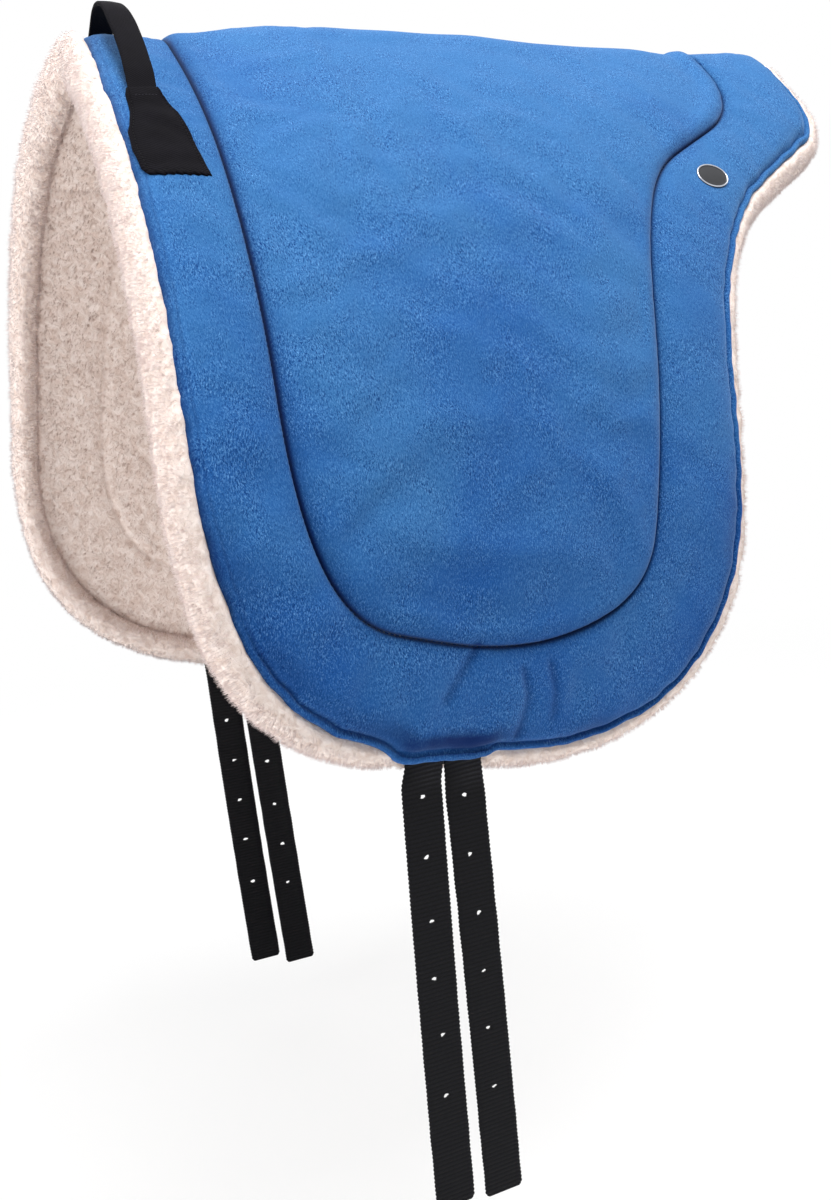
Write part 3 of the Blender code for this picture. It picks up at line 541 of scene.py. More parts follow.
@dataclass(frozen=True)
class BrushedVelour:
    """Polyester velour, raised and brushed: matt, with short strokes of nap that come and go in patches, and
    painted light that makes it lighter near the spine and darker low on the flaps.
    """

    body: str = "#1B5297"
    laid: str = "#346BA3"
    deep: str = "#052D6C"
    bright: str = "#659AD1"
    # The darkest blue: for the pressed nap, and for painted shade in the seams, the creases and along the
    # edges
    pressed: str = "#001F57"
    sheen: str = "#A8C7EE"
    fibre: float = 0.00075
    stroke: float = 0.0019
    fleck_patch: float = 0.045
    brushed_patch: float = 0.17
    # Painted light from above: the lighter laid colour is full out to painted_light_full from the spine, and
    # is held back as painted shade from painted_shade_full down.
    painted_light_full: float = 0.22
    painted_shade_full: float = 0.60

    def make(self) -> Material:
        """Return the material."""
        made, node, shader = new_material("brushed_velour")
        flat = node("ShaderNodeUVMap", uv_map=PATTERN)
        broad = node("ShaderNodeTexNoise", {"Vector": flat, "Scale": 1.0 / self.brushed_patch, "Detail": 3.0,
                                            "Roughness": 0.55, "Distortion": 0.5})
        patch = node("ShaderNodeTexNoise", {"Vector": flat, "Scale": 1.0 / self.fleck_patch, "Detail": 2.0,
                                            "Roughness": 0.6, "Distortion": 0.7})
        bend = node("ShaderNodeTexNoise", {"Vector": flat, "Scale": 26.0, "Detail": 1.0})
        bent = node("ShaderNodeVectorMath", {0: bend.outputs["Color"], 1: (0.012, 0.012, 0.0), 2: flat},
                    operation="MULTIPLY_ADD")
        stretched = node("ShaderNodeMapping", {"Vector": bent, "Rotation": (0.0, 0.0, -0.9),
                                               "Scale": (1.0 / self.fibre, 1.0 / self.stroke, 1.0)})
        fleck = node("ShaderNodeTexNoise",
                     {"Vector": stretched, "Scale": 1.0, "Detail": 2.0, "Roughness": 0.6, "Distortion": 0.9})
        amount = node("ShaderNodeMapRange", {"Value": patch, 1: 0.36, 2: 0.62, 3: 0.42, 4: 1.0})
        split = node("ShaderNodeSeparateXYZ", {0: flat})
        out = node("ShaderNodeMath", {0: split.outputs[1]}, operation="ABSOLUTE")
        # Painted light and shade: the brushed share below raises the laid colour near the spine and lowers it
        # low on the flaps.
        brushed = node("ShaderNodeMapRange",
                       {"Value": out, 1: self.painted_shade_full, 2: self.painted_light_full, 3: -0.35, 4: 0.55})
        laid = node("ShaderNodeMapRange", {"Value": broad, 1: 0.30, 2: 0.70})
        laid = node("ShaderNodeMath", {0: laid, 1: brushed}, operation="ADD")
        ground = node("ShaderNodeMix", {0: laid, 6: linear(self.body), 7: linear(self.laid)},
                      data_type="RGBA")
        low = node("ShaderNodeMapRange", {"Value": fleck, 1: 0.50, 2: 0.34})
        high = node("ShaderNodeMapRange", {"Value": fleck, 1: 0.53, 2: 0.72})
        lows = node("ShaderNodeMath", {0: low, 1: amount}, operation="MULTIPLY")
        highs = node("ShaderNodeMath", {0: high, 1: amount}, operation="MULTIPLY")
        colour = node("ShaderNodeMix", {0: lows, 6: ground, 7: linear(self.deep)}, data_type="RGBA")
        colour = node("ShaderNodeMix", {0: highs, 6: colour, 7: linear(self.bright)}, data_type="RGBA")
        # Pressed nap and painted shade: darken towards the pressed colour by the attribute
        press = node("ShaderNodeAttribute", attribute_name=PRESSED_NAP_AND_SHADE)
        colour = node("ShaderNodeMix", {0: press.outputs["Fac"], 6: colour, 7: linear(self.pressed)},
                      data_type="RGBA")
        bump = node("ShaderNodeBump", {"Height": fleck, "Strength": 0.5, "Distance": self.fibre * 0.6})
        feed(shader, {"Base Color": colour, "Normal": bump, "Roughness": 0.95, "Specular IOR Level": 0.08,
                      "Sheen Weight": 0.32, "Sheen Roughness": 0.45, "Sheen Tint": linear(self.sheen)})
        return made


@dataclass(frozen=True)
class LambswoolBacking:
    """The knitted ground of a faux lambswool, seen between the tufts: warm cream, dull and soft."""

    body: str = "#F3E6DF"
    deep: str = "#DCC8BD"
    clump: float = 0.007

    def make(self) -> Material:
        """Return the material."""
        made, node, shader = new_material("lambswool_backing")
        place = node("ShaderNodeTexCoord").outputs["Object"]
        clump = node("ShaderNodeTexNoise", {"Vector": place, "Scale": 1.0 / self.clump, "Detail": 5.0,
                                            "Roughness": 0.65, "Distortion": 0.7})
        shade = node("ShaderNodeMapRange", {"Value": clump, 1: 0.35, 2: 0.62})
        colour = node("ShaderNodeMix", {0: shade, 6: linear(self.deep), 7: linear(self.body)},
                      data_type="RGBA")
        bump = node("ShaderNodeBump", {"Height": clump, "Strength": 0.8, "Distance": self.clump * 0.3})
        feed(shader, {"Base Color": colour, "Normal": bump, "Roughness": 0.95, "Specular IOR Level": 0.1})
        return made


@dataclass(frozen=True)
class LambswoolPile:
    """Crimped polyester wool fibres: pale cream, matt and silky, in streaks along their combed way."""

    name: str = "lambswool_pile"
    shade: str = "#F0DEDA"
    body: str = "#FFF5F3"
    streak: float = 0.0022
    run: float = 0.013
    contrast: float = 0.8
    clear: float = 0.55

    def make(self) -> Material:
        """Return the material."""
        made, node, shader = new_material(self.name)
        place = node("ShaderNodeTexCoord").outputs["Object"]
        combed = node("ShaderNodeMapping", {"Vector": place, "Rotation": (0.0, -0.6, 0.0),
                                            "Scale": (1.0 / self.streak, 80.0, 1.0 / self.run)})
        streak = node("ShaderNodeTexNoise", {"Vector": combed, "Scale": 1.0, "Detail": 2.0})
        tone = node("ShaderNodeAttribute", attribute_name=TONE)
        mixed = node("ShaderNodeMath", {0: tone.outputs["Fac"], 1: 0.12, 2: streak}, operation="MULTIPLY_ADD")
        share = node("ShaderNodeMapRange", {"Value": mixed, 1: 0.42, 2: 0.70, 3: 1.0 - self.contrast, 4: 1.0})
        colour = node("ShaderNodeMix", {0: share, 6: linear(self.shade), 7: linear(self.body)},
                      data_type="RGBA")
        ground = node("ShaderNodeAttribute", attribute_name=GROUND)
        feed(shader, {"Base Color": colour, "Normal": ground.outputs["Vector"], "Roughness": 0.8,
                      "Specular IOR Level": 0.1, "Sheen Weight": 0.3})
        through = node("ShaderNodeBsdfTranslucent", {"Color": colour})
        both = node("ShaderNodeMixShader", {0: self.clear, 1: shader, 2: through})
        feed(made.node_tree.nodes["Material Output"], {"Surface": both})
        return made


@dataclass(frozen=True)
class NylonWebbing:
    """Woven black nylon webbing: close cross ribs with a painted dull gleam along each rib, and a painted
    highlight on the ribs near a billet's top.
    """

    body: str = "#0B0B0D"
    gleam: str = "#1E1E23"
    lit: str = "#47464C"
    rib: float = 0.00335
    warp: float = 0.0011
    lit_end: float = 0.026

    def make(self) -> Material:
        """Return the material."""
        made, node, shader = new_material("nylon_webbing")
        flat = node("ShaderNodeUVMap", uv_map=PATTERN)
        split = node("ShaderNodeSeparateXYZ", {0: flat})
        turns = 2.0 * math.pi
        along = node("ShaderNodeMath", {0: split.outputs[1], 1: turns / self.rib}, operation="MULTIPLY")
        across = node("ShaderNodeMath", {0: split, 1: turns / self.warp}, operation="MULTIPLY")
        rib = node("ShaderNodeMath", {0: along}, operation="SINE")
        step = node("ShaderNodeMath", {0: across}, operation="SINE")
        weave = node("ShaderNodeMath", {0: rib, 1: step}, operation="MULTIPLY")
        both = node("ShaderNodeMath", {0: weave, 1: 0.45, 2: rib}, operation="MULTIPLY_ADD")
        fuzz = node("ShaderNodeTexNoise", {"Vector": flat, "Scale": 900.0, "Detail": 2.0})
        share = node("ShaderNodeMapRange", {"Value": both, 1: -0.9, 2: 1.5})
        lit = node("ShaderNodeMath", {0: share, 1: fuzz}, operation="MULTIPLY")
        # Painted highlight: near each billet's top, on its right side, the ribs take the lit colour
        top = node("ShaderNodeMapRange", {"Value": split.outputs[1], 1: self.lit_end, 2: self.lit_end * 0.4})
        side = node("ShaderNodeMapRange", {"Value": split, 1: -0.012, 2: 0.004})
        turned = node("ShaderNodeMath", {0: top, 1: side}, operation="MULTIPLY")
        painted_top_highlight = node("ShaderNodeMix", {0: turned, 6: linear(self.gleam), 7: linear(self.lit)},
                    data_type="RGBA")
        colour = node("ShaderNodeMix", {0: lit, 6: linear(self.body), 7: painted_top_highlight}, data_type="RGBA")
        bump = node("ShaderNodeBump", {"Height": both, "Strength": 0.6, "Distance": 0.0003})
        feed(shader, {"Base Color": colour, "Normal": bump, "Roughness": 0.65, "Specular IOR Level": 0.1})
        return made


@dataclass(frozen=True)
class WovenTwill:
    """Black polyester twill: fine diagonal ribs that catch a little light."""

    body: str = "#070609"
    gleam: str = "#1D1B23"
    rib: float = 0.0019

    def make(self) -> Material:
        """Return the material."""
        made, node, shader = new_material("woven_twill")
        flat = node("ShaderNodeUVMap", uv_map=PATTERN)
        turned = node("ShaderNodeMapping", {"Vector": flat, "Rotation": (0.0, 0.0, math.radians(-62.0))})
        split = node("ShaderNodeSeparateXYZ", {0: turned})
        phase = node("ShaderNodeMath", {0: split, 1: 2.0 * math.pi / self.rib}, operation="MULTIPLY")
        rib = node("ShaderNodeMath", {0: phase}, operation="SINE")
        share = node("ShaderNodeMapRange", {"Value": rib, 1: -0.5, 2: 1.3})
        patch = node("ShaderNodeTexNoise", {"Vector": flat, "Scale": 60.0, "Detail": 2.0})
        lit = node("ShaderNodeMath", {0: share, 1: patch}, operation="MULTIPLY")
        colour = node("ShaderNodeMix", {0: lit, 6: linear(self.body), 7: linear(self.gleam)},
                      data_type="RGBA")
        bump = node("ShaderNodeBump", {"Height": rib, "Strength": 0.5, "Distance": 0.0002})
        feed(shader, {"Base Color": colour, "Normal": bump, "Roughness": 0.8, "Specular IOR Level": 0.05})
        return made


@dataclass(frozen=True)
class PlainFinish:
    """A finish of one body colour with a fine grain: thread, moulded rubber or a metal rim."""

    name: str
    body: str
    roughness: float
    metallic: float = 0.0
    gloss: float = 0.12
    grain: float = 0.0006
    relief: float = 0.00005

    def make(self) -> Material:
        """Return the material."""
        made, node, shader = new_material(self.name)
        place = node("ShaderNodeTexCoord").outputs["Object"]
        grain = node("ShaderNodeTexNoise", {"Vector": place, "Scale": 1.0 / self.grain, "Detail": 2.0})
        bump = node("ShaderNodeBump", {"Height": grain, "Strength": 0.4, "Distance": self.relief})
        feed(shader, {"Normal": bump, "Base Color": linear(self.body), "Roughness": self.roughness,
                      "Metallic": self.metallic, "Specular IOR Level": self.gloss})
        return made


def new_material(name: str) -> tuple[Material, Callable[..., Node], Node]:
    """Return a new material with what adds a node to it, and its shader."""
    made = bpy.data.materials.new(name)
    made.use_nodes = True
    return made, partial(add_node, made.node_tree), made.node_tree.nodes["Principled BSDF"]


class Cupboard:
    """The finishes, each made once."""

    def __init__(self) -> None:
        """Make every finish."""
        self.velour = BrushedVelour().make()
        self.backing = LambswoolBacking().make()
        self.wool = LambswoolPile().make()
        # Painted shade: the lining is the roll's wool in darker, warmer colours, for the shade inside the pad
        self.lining = LambswoolPile("lambswool_lining", "#C2A498", "#EAD6CE", contrast=1.0).make()
        self.webbing = NylonWebbing().make()
        self.twill = WovenTwill().make()
        self.thread = PlainFinish("blue_thread", "#16407F", 0.6).make()
        self.dark_thread = PlainFinish("black_thread", "#09080C", 0.7).make()
        self.pale_thread = PlainFinish("grey_thread", "#403E47", 0.6).make()
        self.rubber = PlainFinish("moulded_rubber", "#14161C", 0.4, gloss=0.4).make()
        self.rim = PlainFinish("satin_rim", "#B9BDC6", 0.35, 1.0).make()


@dataclass(frozen=True)
class Lock:
    """A small lock of the pile: flat fibres that part a little towards their tips."""

    fibres: int = 3
    length: float = 0.0052
    width: float = 0.00046
    spread: float = 0.0007
    tip: float = 0.35

    def make(self) -> Object:
        """Return the lock, standing on the origin along +Z, out of sight."""
        points: list[tuple[float, float, float]] = []
        faces: list[tuple[int, ...]] = []
        for index in range(self.fibres):
            turn = 2.0 * math.pi * index / self.fibres
            out = Vector((math.cos(turn), math.sin(turn), 0.0)) * self.spread
            side = Vector((-math.sin(turn + 0.8), math.cos(turn + 0.8), 0.0)) * self.width / 2.0
            top = out * 1.6 + Vector((0.0, 0.0, self.length * (1.0 - 0.12 * index)))
            base = len(points)
            low = out * 0.5
            tip = side * self.tip
            points += [tuple(corner) for corner in (low - side, low + side, top + tip, top - tip)]
            faces.append((base, base + 1, base + 2, base + 3))
        made = mesh_object("lock_form", np.array(points), faces)
        made.hide_render = True
        return made


class NodeTool:
    """A geometry nodes tree that is used as a tool: it is laid on a piece and leaves a plain mesh."""

    def __init__(self, name: str, inputs: Sequence[tuple[str, str, object]]) -> None:
        """Start the tree with its named inputs, each with its kind and first value."""
        self.tree = bpy.data.node_groups.new(name, "GeometryNodeTree")
        self.sockets: dict[str, str] = {}
        self.tree.interface.new_socket("Geometry", in_out="INPUT", socket_type="NodeSocketGeometry")
        for label, kind, value in inputs:
            socket = self.tree.interface.new_socket(label, in_out="INPUT", socket_type="NodeSocket" + kind)
            socket.default_value = value
            self.sockets[label] = socket.identifier
        self.tree.interface.new_socket("Geometry", in_out="OUTPUT", socket_type="NodeSocketGeometry")
        self.node = partial(add_node, self.tree)
        self.given = self.node("NodeGroupInput").outputs

    def apply(self, name: str, mesh: Mesh, **values) -> Object:
        """Run the tree on a copy of a mesh.

        Args:
            name: The name of the piece that it makes.
            mesh: The mesh that it is laid on.
            **values: The tree's inputs by name.

        Returns:
            The piece, as a plain mesh.
        """
        made = linked(name, mesh.copy())
        modifier = made.modifiers.new("tool", "NODES")
        modifier.node_group = self.tree
        for key, value in values.items():
            modifier[self.sockets[key]] = value
        return plain_mesh(made)

    def finish(self, geometry: Node, material: Material | NodeSocket) -> None:
        """End the tree with its geometry made real and given its material."""
        real = self.node("GeometryNodeRealizeInstances", {0: geometry})
        dressed = self.node("GeometryNodeSetMaterial", {"Geometry": real, "Material": material})
        self.node("NodeGroupOutput", {0: dressed})


class PileTool(NodeTool):
    """Plants locks of wool on a backing, combed along its nap and gathered in clumps."""

    def __init__(self, lock: Object) -> None:
        """Build the tree."""
        super().__init__("wool_pile", (
            ("Density", "Float", 100000.0), ("Seed", "Int", 1), ("Comb", "Float", 1.0),
            ("Clump", "Float", 0.012), ("Gather", "Float", 1.6), ("Loose", "Float", 0.3),
            ("Length", "Float", 1.0), ("Wool", "Material", None)))
        node, given = self.node, self.given
        share = node("GeometryNodeInputNamedAttribute", {"Name": PILE}, data_type="FLOAT")
        nap = node("GeometryNodeInputNamedAttribute", {"Name": NAP}, data_type="FLOAT_VECTOR")
        thick = node("ShaderNodeMath", {0: share, 1: given["Density"]}, operation="MULTIPLY")
        points = node("GeometryNodeDistributePointsOnFaces",
                      {"Mesh": given["Geometry"], "Density": thick, "Seed": given["Seed"]})
        place = node("GeometryNodeInputPosition")
        grain = node("ShaderNodeMath", {0: 1.0, 1: given["Clump"]}, operation="DIVIDE")
        clump = node("ShaderNodeTexNoise", {"Vector": place, "Scale": grain, "Detail": 2.0})
        centred = node("ShaderNodeVectorMath", {0: clump.outputs["Color"], 1: (0.5, 0.5, 0.5)},
                       operation="SUBTRACT")
        gathered = node("ShaderNodeVectorMath", {0: centred, "Scale": given["Gather"]}, operation="SCALE")
        stray = node("FunctionNodeRandomValue", {0: (-1.0, -1.0, -1.0), 1: (1.0, 1.0, 1.0)},
                     data_type="FLOAT_VECTOR")
        strayed = node("ShaderNodeVectorMath", {0: stray, "Scale": given["Loose"]}, operation="SCALE")
        combed = node("ShaderNodeVectorMath", {0: nap, "Scale": given["Comb"]}, operation="SCALE")
        lean = points.outputs["Normal"]
        for pull in (combed, gathered, strayed):
            lean = node("ShaderNodeVectorMath", {0: lean, 1: pull}, operation="ADD")
        upright = node("FunctionNodeAlignRotationToVector", {"Vector": lean}, axis="Z")
        spin = node("FunctionNodeRandomValue", {2: 0.0, 3: 2.0 * math.pi, "Seed": 7}, data_type="FLOAT")
        turn = node("ShaderNodeCombineXYZ", {"Z": spin})
        turned = node("FunctionNodeEulerToRotation", {0: turn})
        facing = node("FunctionNodeRotateRotation", {0: upright, 1: turned}, rotation_space="LOCAL")
        tall = node("FunctionNodeRandomValue", {2: 0.6, 3: 1.15, "Seed": 3}, data_type="FLOAT")
        size = node("ShaderNodeMath", {0: tall, 1: given["Length"]}, operation="MULTIPLY")
        form = node("GeometryNodeObjectInfo", {"Object": lock})
        planted = node("GeometryNodeInstanceOnPoints",
                       {"Points": points.outputs["Points"], "Instance": form.outputs["Geometry"],
                        "Rotation": facing, "Scale": size})
        tone = node("FunctionNodeRandomValue", {2: 0.0, 3: 1.0, "Seed": 11}, data_type="FLOAT")
        toned = node("GeometryNodeStoreNamedAttribute", {"Geometry": planted, "Name": TONE, "Value": tone},
                     domain="INSTANCE", data_type="FLOAT")
        tilt = node("ShaderNodeVectorMath", {0: gathered, 1: (0.45, 0.45, 0.45), 2: points.outputs["Normal"]},
                    operation="MULTIPLY_ADD")
        tilt = node("ShaderNodeVectorMath", {0: strayed, 1: (0.5, 0.5, 0.5), 2: tilt},
                    operation="MULTIPLY_ADD")
        ground = node("ShaderNodeVectorMath", {0: tilt}, operation="NORMALIZE")
        turned = node("GeometryNodeStoreNamedAttribute", {"Geometry": toned, "Name": GROUND, "Value": ground},
                      domain="INSTANCE", data_type="FLOAT_VECTOR")
        self.finish(turned, given["Wool"])


class RibTool(NodeTool):
    """Raises the cross ribs of a webbing from its flat length."""

    def __init__(self, finish: Material) -> None:
        """Build the tree."""
        super().__init__("webbing_ribs", (("Pitch", "Float", 0.003), ("Depth", "Float", 0.0002)))
        node, given = self.node, self.given
        flat = node("GeometryNodeInputNamedAttribute", {"Name": PATTERN}, data_type="FLOAT_VECTOR")
        split = node("ShaderNodeSeparateXYZ", {0: flat})
        turns = node("ShaderNodeMath", {0: split.outputs[1], 1: given["Pitch"]}, operation="DIVIDE")
        phase = node("ShaderNodeMath", {0: turns, 1: math.pi}, operation="MULTIPLY")
        wave = node("ShaderNodeMath", {0: phase}, operation="SINE")
        rib = node("ShaderNodeMath", {0: wave}, operation="ABSOLUTE")
        raised = node("ShaderNodeMath", {0: rib, 1: given["Depth"]}, operation="MULTIPLY")
        normal = node("GeometryNodeInputNormal")
        offset = node("ShaderNodeVectorMath", {0: normal, "Scale": raised}, operation="SCALE")
        moved = node("GeometryNodeSetPosition", {"Geometry": given["Geometry"], "Offset": offset})
        self.finish(moved, finish)


class StitchTool(NodeTool):
    """Sews stitches along a line of edges, each lying on the surface under it."""

    def __init__(self, form: Object) -> None:
        """Build the tree."""
        super().__init__("stitch_row", (("Pitch", "Float", 0.004), ("Size", "Float", 1.0),
                                        ("Thread", "Material", None)))
        node, given = self.node, self.given
        curve = node("GeometryNodeMeshToCurve", {"Mesh": given["Geometry"]})
        even = node("GeometryNodeResampleCurve", {"Curve": curve, "Length": given["Pitch"]}, mode="LENGTH")
        run = node("GeometryNodeInputTangent")
        up = node("GeometryNodeInputNamedAttribute", {"Name": UP}, data_type="FLOAT_VECTOR")
        slip = node("FunctionNodeRandomValue", {0: (-0.05, -0.05, -0.05), 1: (0.05, 0.05, 0.05), "Seed": 5},
                    data_type="FLOAT_VECTOR")
        along = node("ShaderNodeVectorMath", {0: run, 1: slip}, operation="ADD")
        laid = node("FunctionNodeAlignRotationToVector", {"Vector": along}, axis="X")
        level = node("FunctionNodeAlignRotationToVector", {"Rotation": laid, "Vector": up}, axis="Z",
                     pivot_axis="X")
        shape = node("GeometryNodeObjectInfo", {"Object": form})
        sewn = node("GeometryNodeInstanceOnPoints", {"Points": even, "Instance": shape.outputs["Geometry"],
                                                     "Rotation": level, "Scale": given["Size"]})
        self.finish(sewn, given["Thread"])


@dataclass
class Stitching:
    """Rows of thread stitches, sewn on the cover and the tabs."""

    arch: Arch
    length: float = 0.0030
    width: float = 0.0009
    height: float = 0.00055

    def __post_init__(self) -> None:
        """Make the one stitch that the rows repeat, and their tree."""
        shares = ((0.0, 0.35, 0.2), (0.14, 0.9, 0.8), (0.5, 1.0, 1.0), (0.86, 0.9, 0.8), (1.0, 0.35, 0.2))
        turns = [math.radians(angle) for angle in range(0, 360, 60)]
        rows = np.array([[(self.length * (along - 0.5), self.width / 2.0 * wide * math.cos(turn),
                           self.height * tall * (0.35 + 0.65 * math.sin(turn))) for turn in turns]
                         for along, wide, tall in shares])
        self.form = sleeve("stitch_form", rows, np.zeros((*rows.shape[:2], 2)))
        self.form.hide_render = True
        self.tool = StitchTool(self.form)
        self.rows: list[tuple[Object, Material, str]] = []

    def sew(self, name: str, places: np.ndarray, thread: Material, slot: str, pitch: float, size: float = 1.0,
            closed: bool = False) -> None:
        """Sew one row along places on the pattern.

        Args:
            name: The row's name.
            places: Rows of (s, t, height).
            thread: The thread's finish.
            slot: The material slot of what it holds; not used.
            pitch: From one stitch to the next.
            size: The stitch's size, as a share of the full one.
            closed: Whether the row closes on itself.
        """
        points = self.arch.drape(places)
        normals = self.arch.frame(places[:, 0], places[:, 1])[1]
        edges = [(index, index + 1) for index in range(len(points) - 1)]
        if closed:
            edges.append((len(points) - 1, 0))
        mesh = bpy.data.meshes.new(name)
        mesh.from_pydata(points.tolist(), edges, [])
        set_attribute(mesh, UP, normals)
        self.rows.append((self.tool.apply(name, mesh, Pitch=pitch, Size=size, Thread=thread), thread, slot))

    def dress_rows(self) -> None:
        """Dress every row, and take the one stitch away."""
        for row in self.rows:
            dress(*row, "pad")
        bpy.data.objects.remove(self.form, do_unlink=True)


@dataclass(frozen=True)
class Girthing:
    """Where the two girth webs run under the cover, and where the billets hang from them."""

    pair: float = -0.156
    skew: float = 0.0083
    width: float = 0.0318
    space: float = 0.0024
    thickness: float = 0.0018
    outside: float = 0.009
    flap_drop: float = FLAP_DROP
    places: tuple = ("front", "rear")

    def middle(self, t: np.ndarray | float) -> np.ndarray | float:
        """Return where the webs' middle line lies along the spine, at a distance from it."""
        return self.pair + self.skew * t

    def centre(self, t: np.ndarray | float, place: str) -> np.ndarray | float:
        """Return where one web's centre line lies along the spine."""
        half = (self.width + self.space) / 2.0
        return self.middle(t) + (-half if place == "front" else half)

    def covered(self, places: np.ndarray, reach: float, soft: float) -> np.ndarray:
        """Return how far places lie over the webs' ends, from 0 to 1."""
        across = smooth((reach + soft - np.abs(places[:, 0] - self.middle(places[:, 1]))) / soft)
        return across * smooth((np.abs(places[:, 1]) - 0.5) / 0.02)

    def hinge(self, edge: Outline, side: Side, place: str) -> tuple[float, float]:
        """Return the place on the pattern of a billet's hinge, with its distance from the spine."""
        s = float(self.centre(side.value * self.flap_drop, place))
        low = edge.ring[edge.ring[:, 1] * side.value > self.flap_drop * 0.75]
        low = low[np.argsort(low[:, 0])]
        return s, float(np.interp(s, low[:, 0], np.abs(low[:, 1]))) + self.outside


@dataclass
class ClothSwell:
    """A cloth simulation of the velour, which is sewn down along its seams and pushed out by its foam."""

    arch: Arch
    layers: Layers
    edge: Outline
    seam: Outline
    pressure: float = 4.0
    frames: int = 20
    cap: float = 0.0035
    slack: float = 0.03
    hold: float = 0.12
    share: float = 0.5

    def __post_init__(self) -> None:
        """Run both panels."""
        self.places = np.zeros((0, 2))
        self.rises = np.zeros(0)
        step = 2
        shell = Shell()
        ring = self.seam.offset(-0.0004).ring[::step]
        row = shell.add(self.laid(ring))
        shell.fill(row, ring, self.layers.seam, step=step)
        self.keep(*self.run(shell, row))
        shell = Shell()
        inner, outer = self.seam.ring[::step], self.edge.offset(-0.0068).ring[::step]
        rows = [shell.add(self.laid(inner + (outer - inner) * share)) for share in np.linspace(0.0, 1.0, 15)]
        shell.loft(rows)
        self.keep(*self.run(shell, np.concatenate([rows[0], rows[-1]])))
        self.tree = search_tree(self.places)

    def laid(self, places: np.ndarray) -> np.ndarray:
        """Return places at the seams' height, a little lower than the finished face."""
        return extended(places, self.layers.seam)

    def keep(self, places: np.ndarray, rises: np.ndarray) -> None:
        """Keep the result of one panel."""
        self.places = np.concatenate([self.places, places])
        self.rises = np.concatenate([self.rises, rises])

    def run(self, shell: Shell, sewn: np.ndarray) -> tuple[np.ndarray, np.ndarray]:
        """Simulate an open sheet.

        Args:
            shell: The sheet.
            sewn: The numbers of its places that are sewn down.

        Returns:
            Its places on the pattern and how far each one rose, less the mean rise.
        """
        sheet = shell.mesh("cloth_sheet", self.arch)
        count = len(sheet.data.vertices)
        group = sheet.vertex_groups.new(name="sewn")
        group.add(list(range(count)), self.hold, "REPLACE")
        group.add([int(index) for index in sewn], 1.0, "REPLACE")
        cloth = sheet.modifiers.new("cloth", "CLOTH")
        settings = cloth.settings
        settings.quality = 5
        settings.vertex_group_mass = group.name
        settings.pin_stiffness = 1.0
        settings.use_pressure = True
        settings.uniform_pressure_force = self.pressure
        settings.shrink_min = -self.slack
        settings.bending_stiffness = 0.4
        settings.effector_weights.gravity = 0.0
        cloth.point_cache.frame_start = 1
        cloth.point_cache.frame_end = self.frames
        scene = bpy.context.scene
        rest = np.zeros(count * 3, dtype=np.float32)
        sheet.data.vertices.foreach_get("co", rest)
        for number in range(1, self.frames + 1):
            scene.frame_set(number)
        graph = bpy.context.evaluated_depsgraph_get()
        swollen = np.zeros(count * 3, dtype=np.float32)
        sheet.evaluated_get(graph).data.vertices.foreach_get("co", swollen)
        places = np.concatenate(shell.places)
        normals = self.arch.frame(places[:, 0], places[:, 1])[1]
        rise = ((swollen - rest).reshape(-1, 3) * normals).sum(1)
        bpy.data.objects.remove(sheet, do_unlink=True)
        scene.frame_set(1)
        LOG.info("cloth: %d places rose %.1f to %.1f mm", count, rise.min() * 1000.0, rise.max() * 1000.0)
        free = np.ones(count, dtype=bool)
        free[sewn] = False
        mean = rise[free].mean()
        return places[:, :2], np.where(free, np.clip(rise - mean, -self.cap, self.cap), 0.0)

    def at(self, places: np.ndarray) -> np.ndarray:
        """Return how far the cloth rises at rows of (s, t)."""
        if not len(self.rises):
            return np.zeros(len(places))
        found = np.zeros(len(places))
        for index, place in enumerate(places):
            near = self.tree.find_n((place[0], place[1], 0.0), 8)
            weights = [1.0 / (distance + 0.0025) ** 2 for _, _, distance in near]
            found[index] = sum(self.rises[number] * weight for (_, number, _), weight in zip(near, weights))
            found[index] /= sum(weights)
        return found * self.share


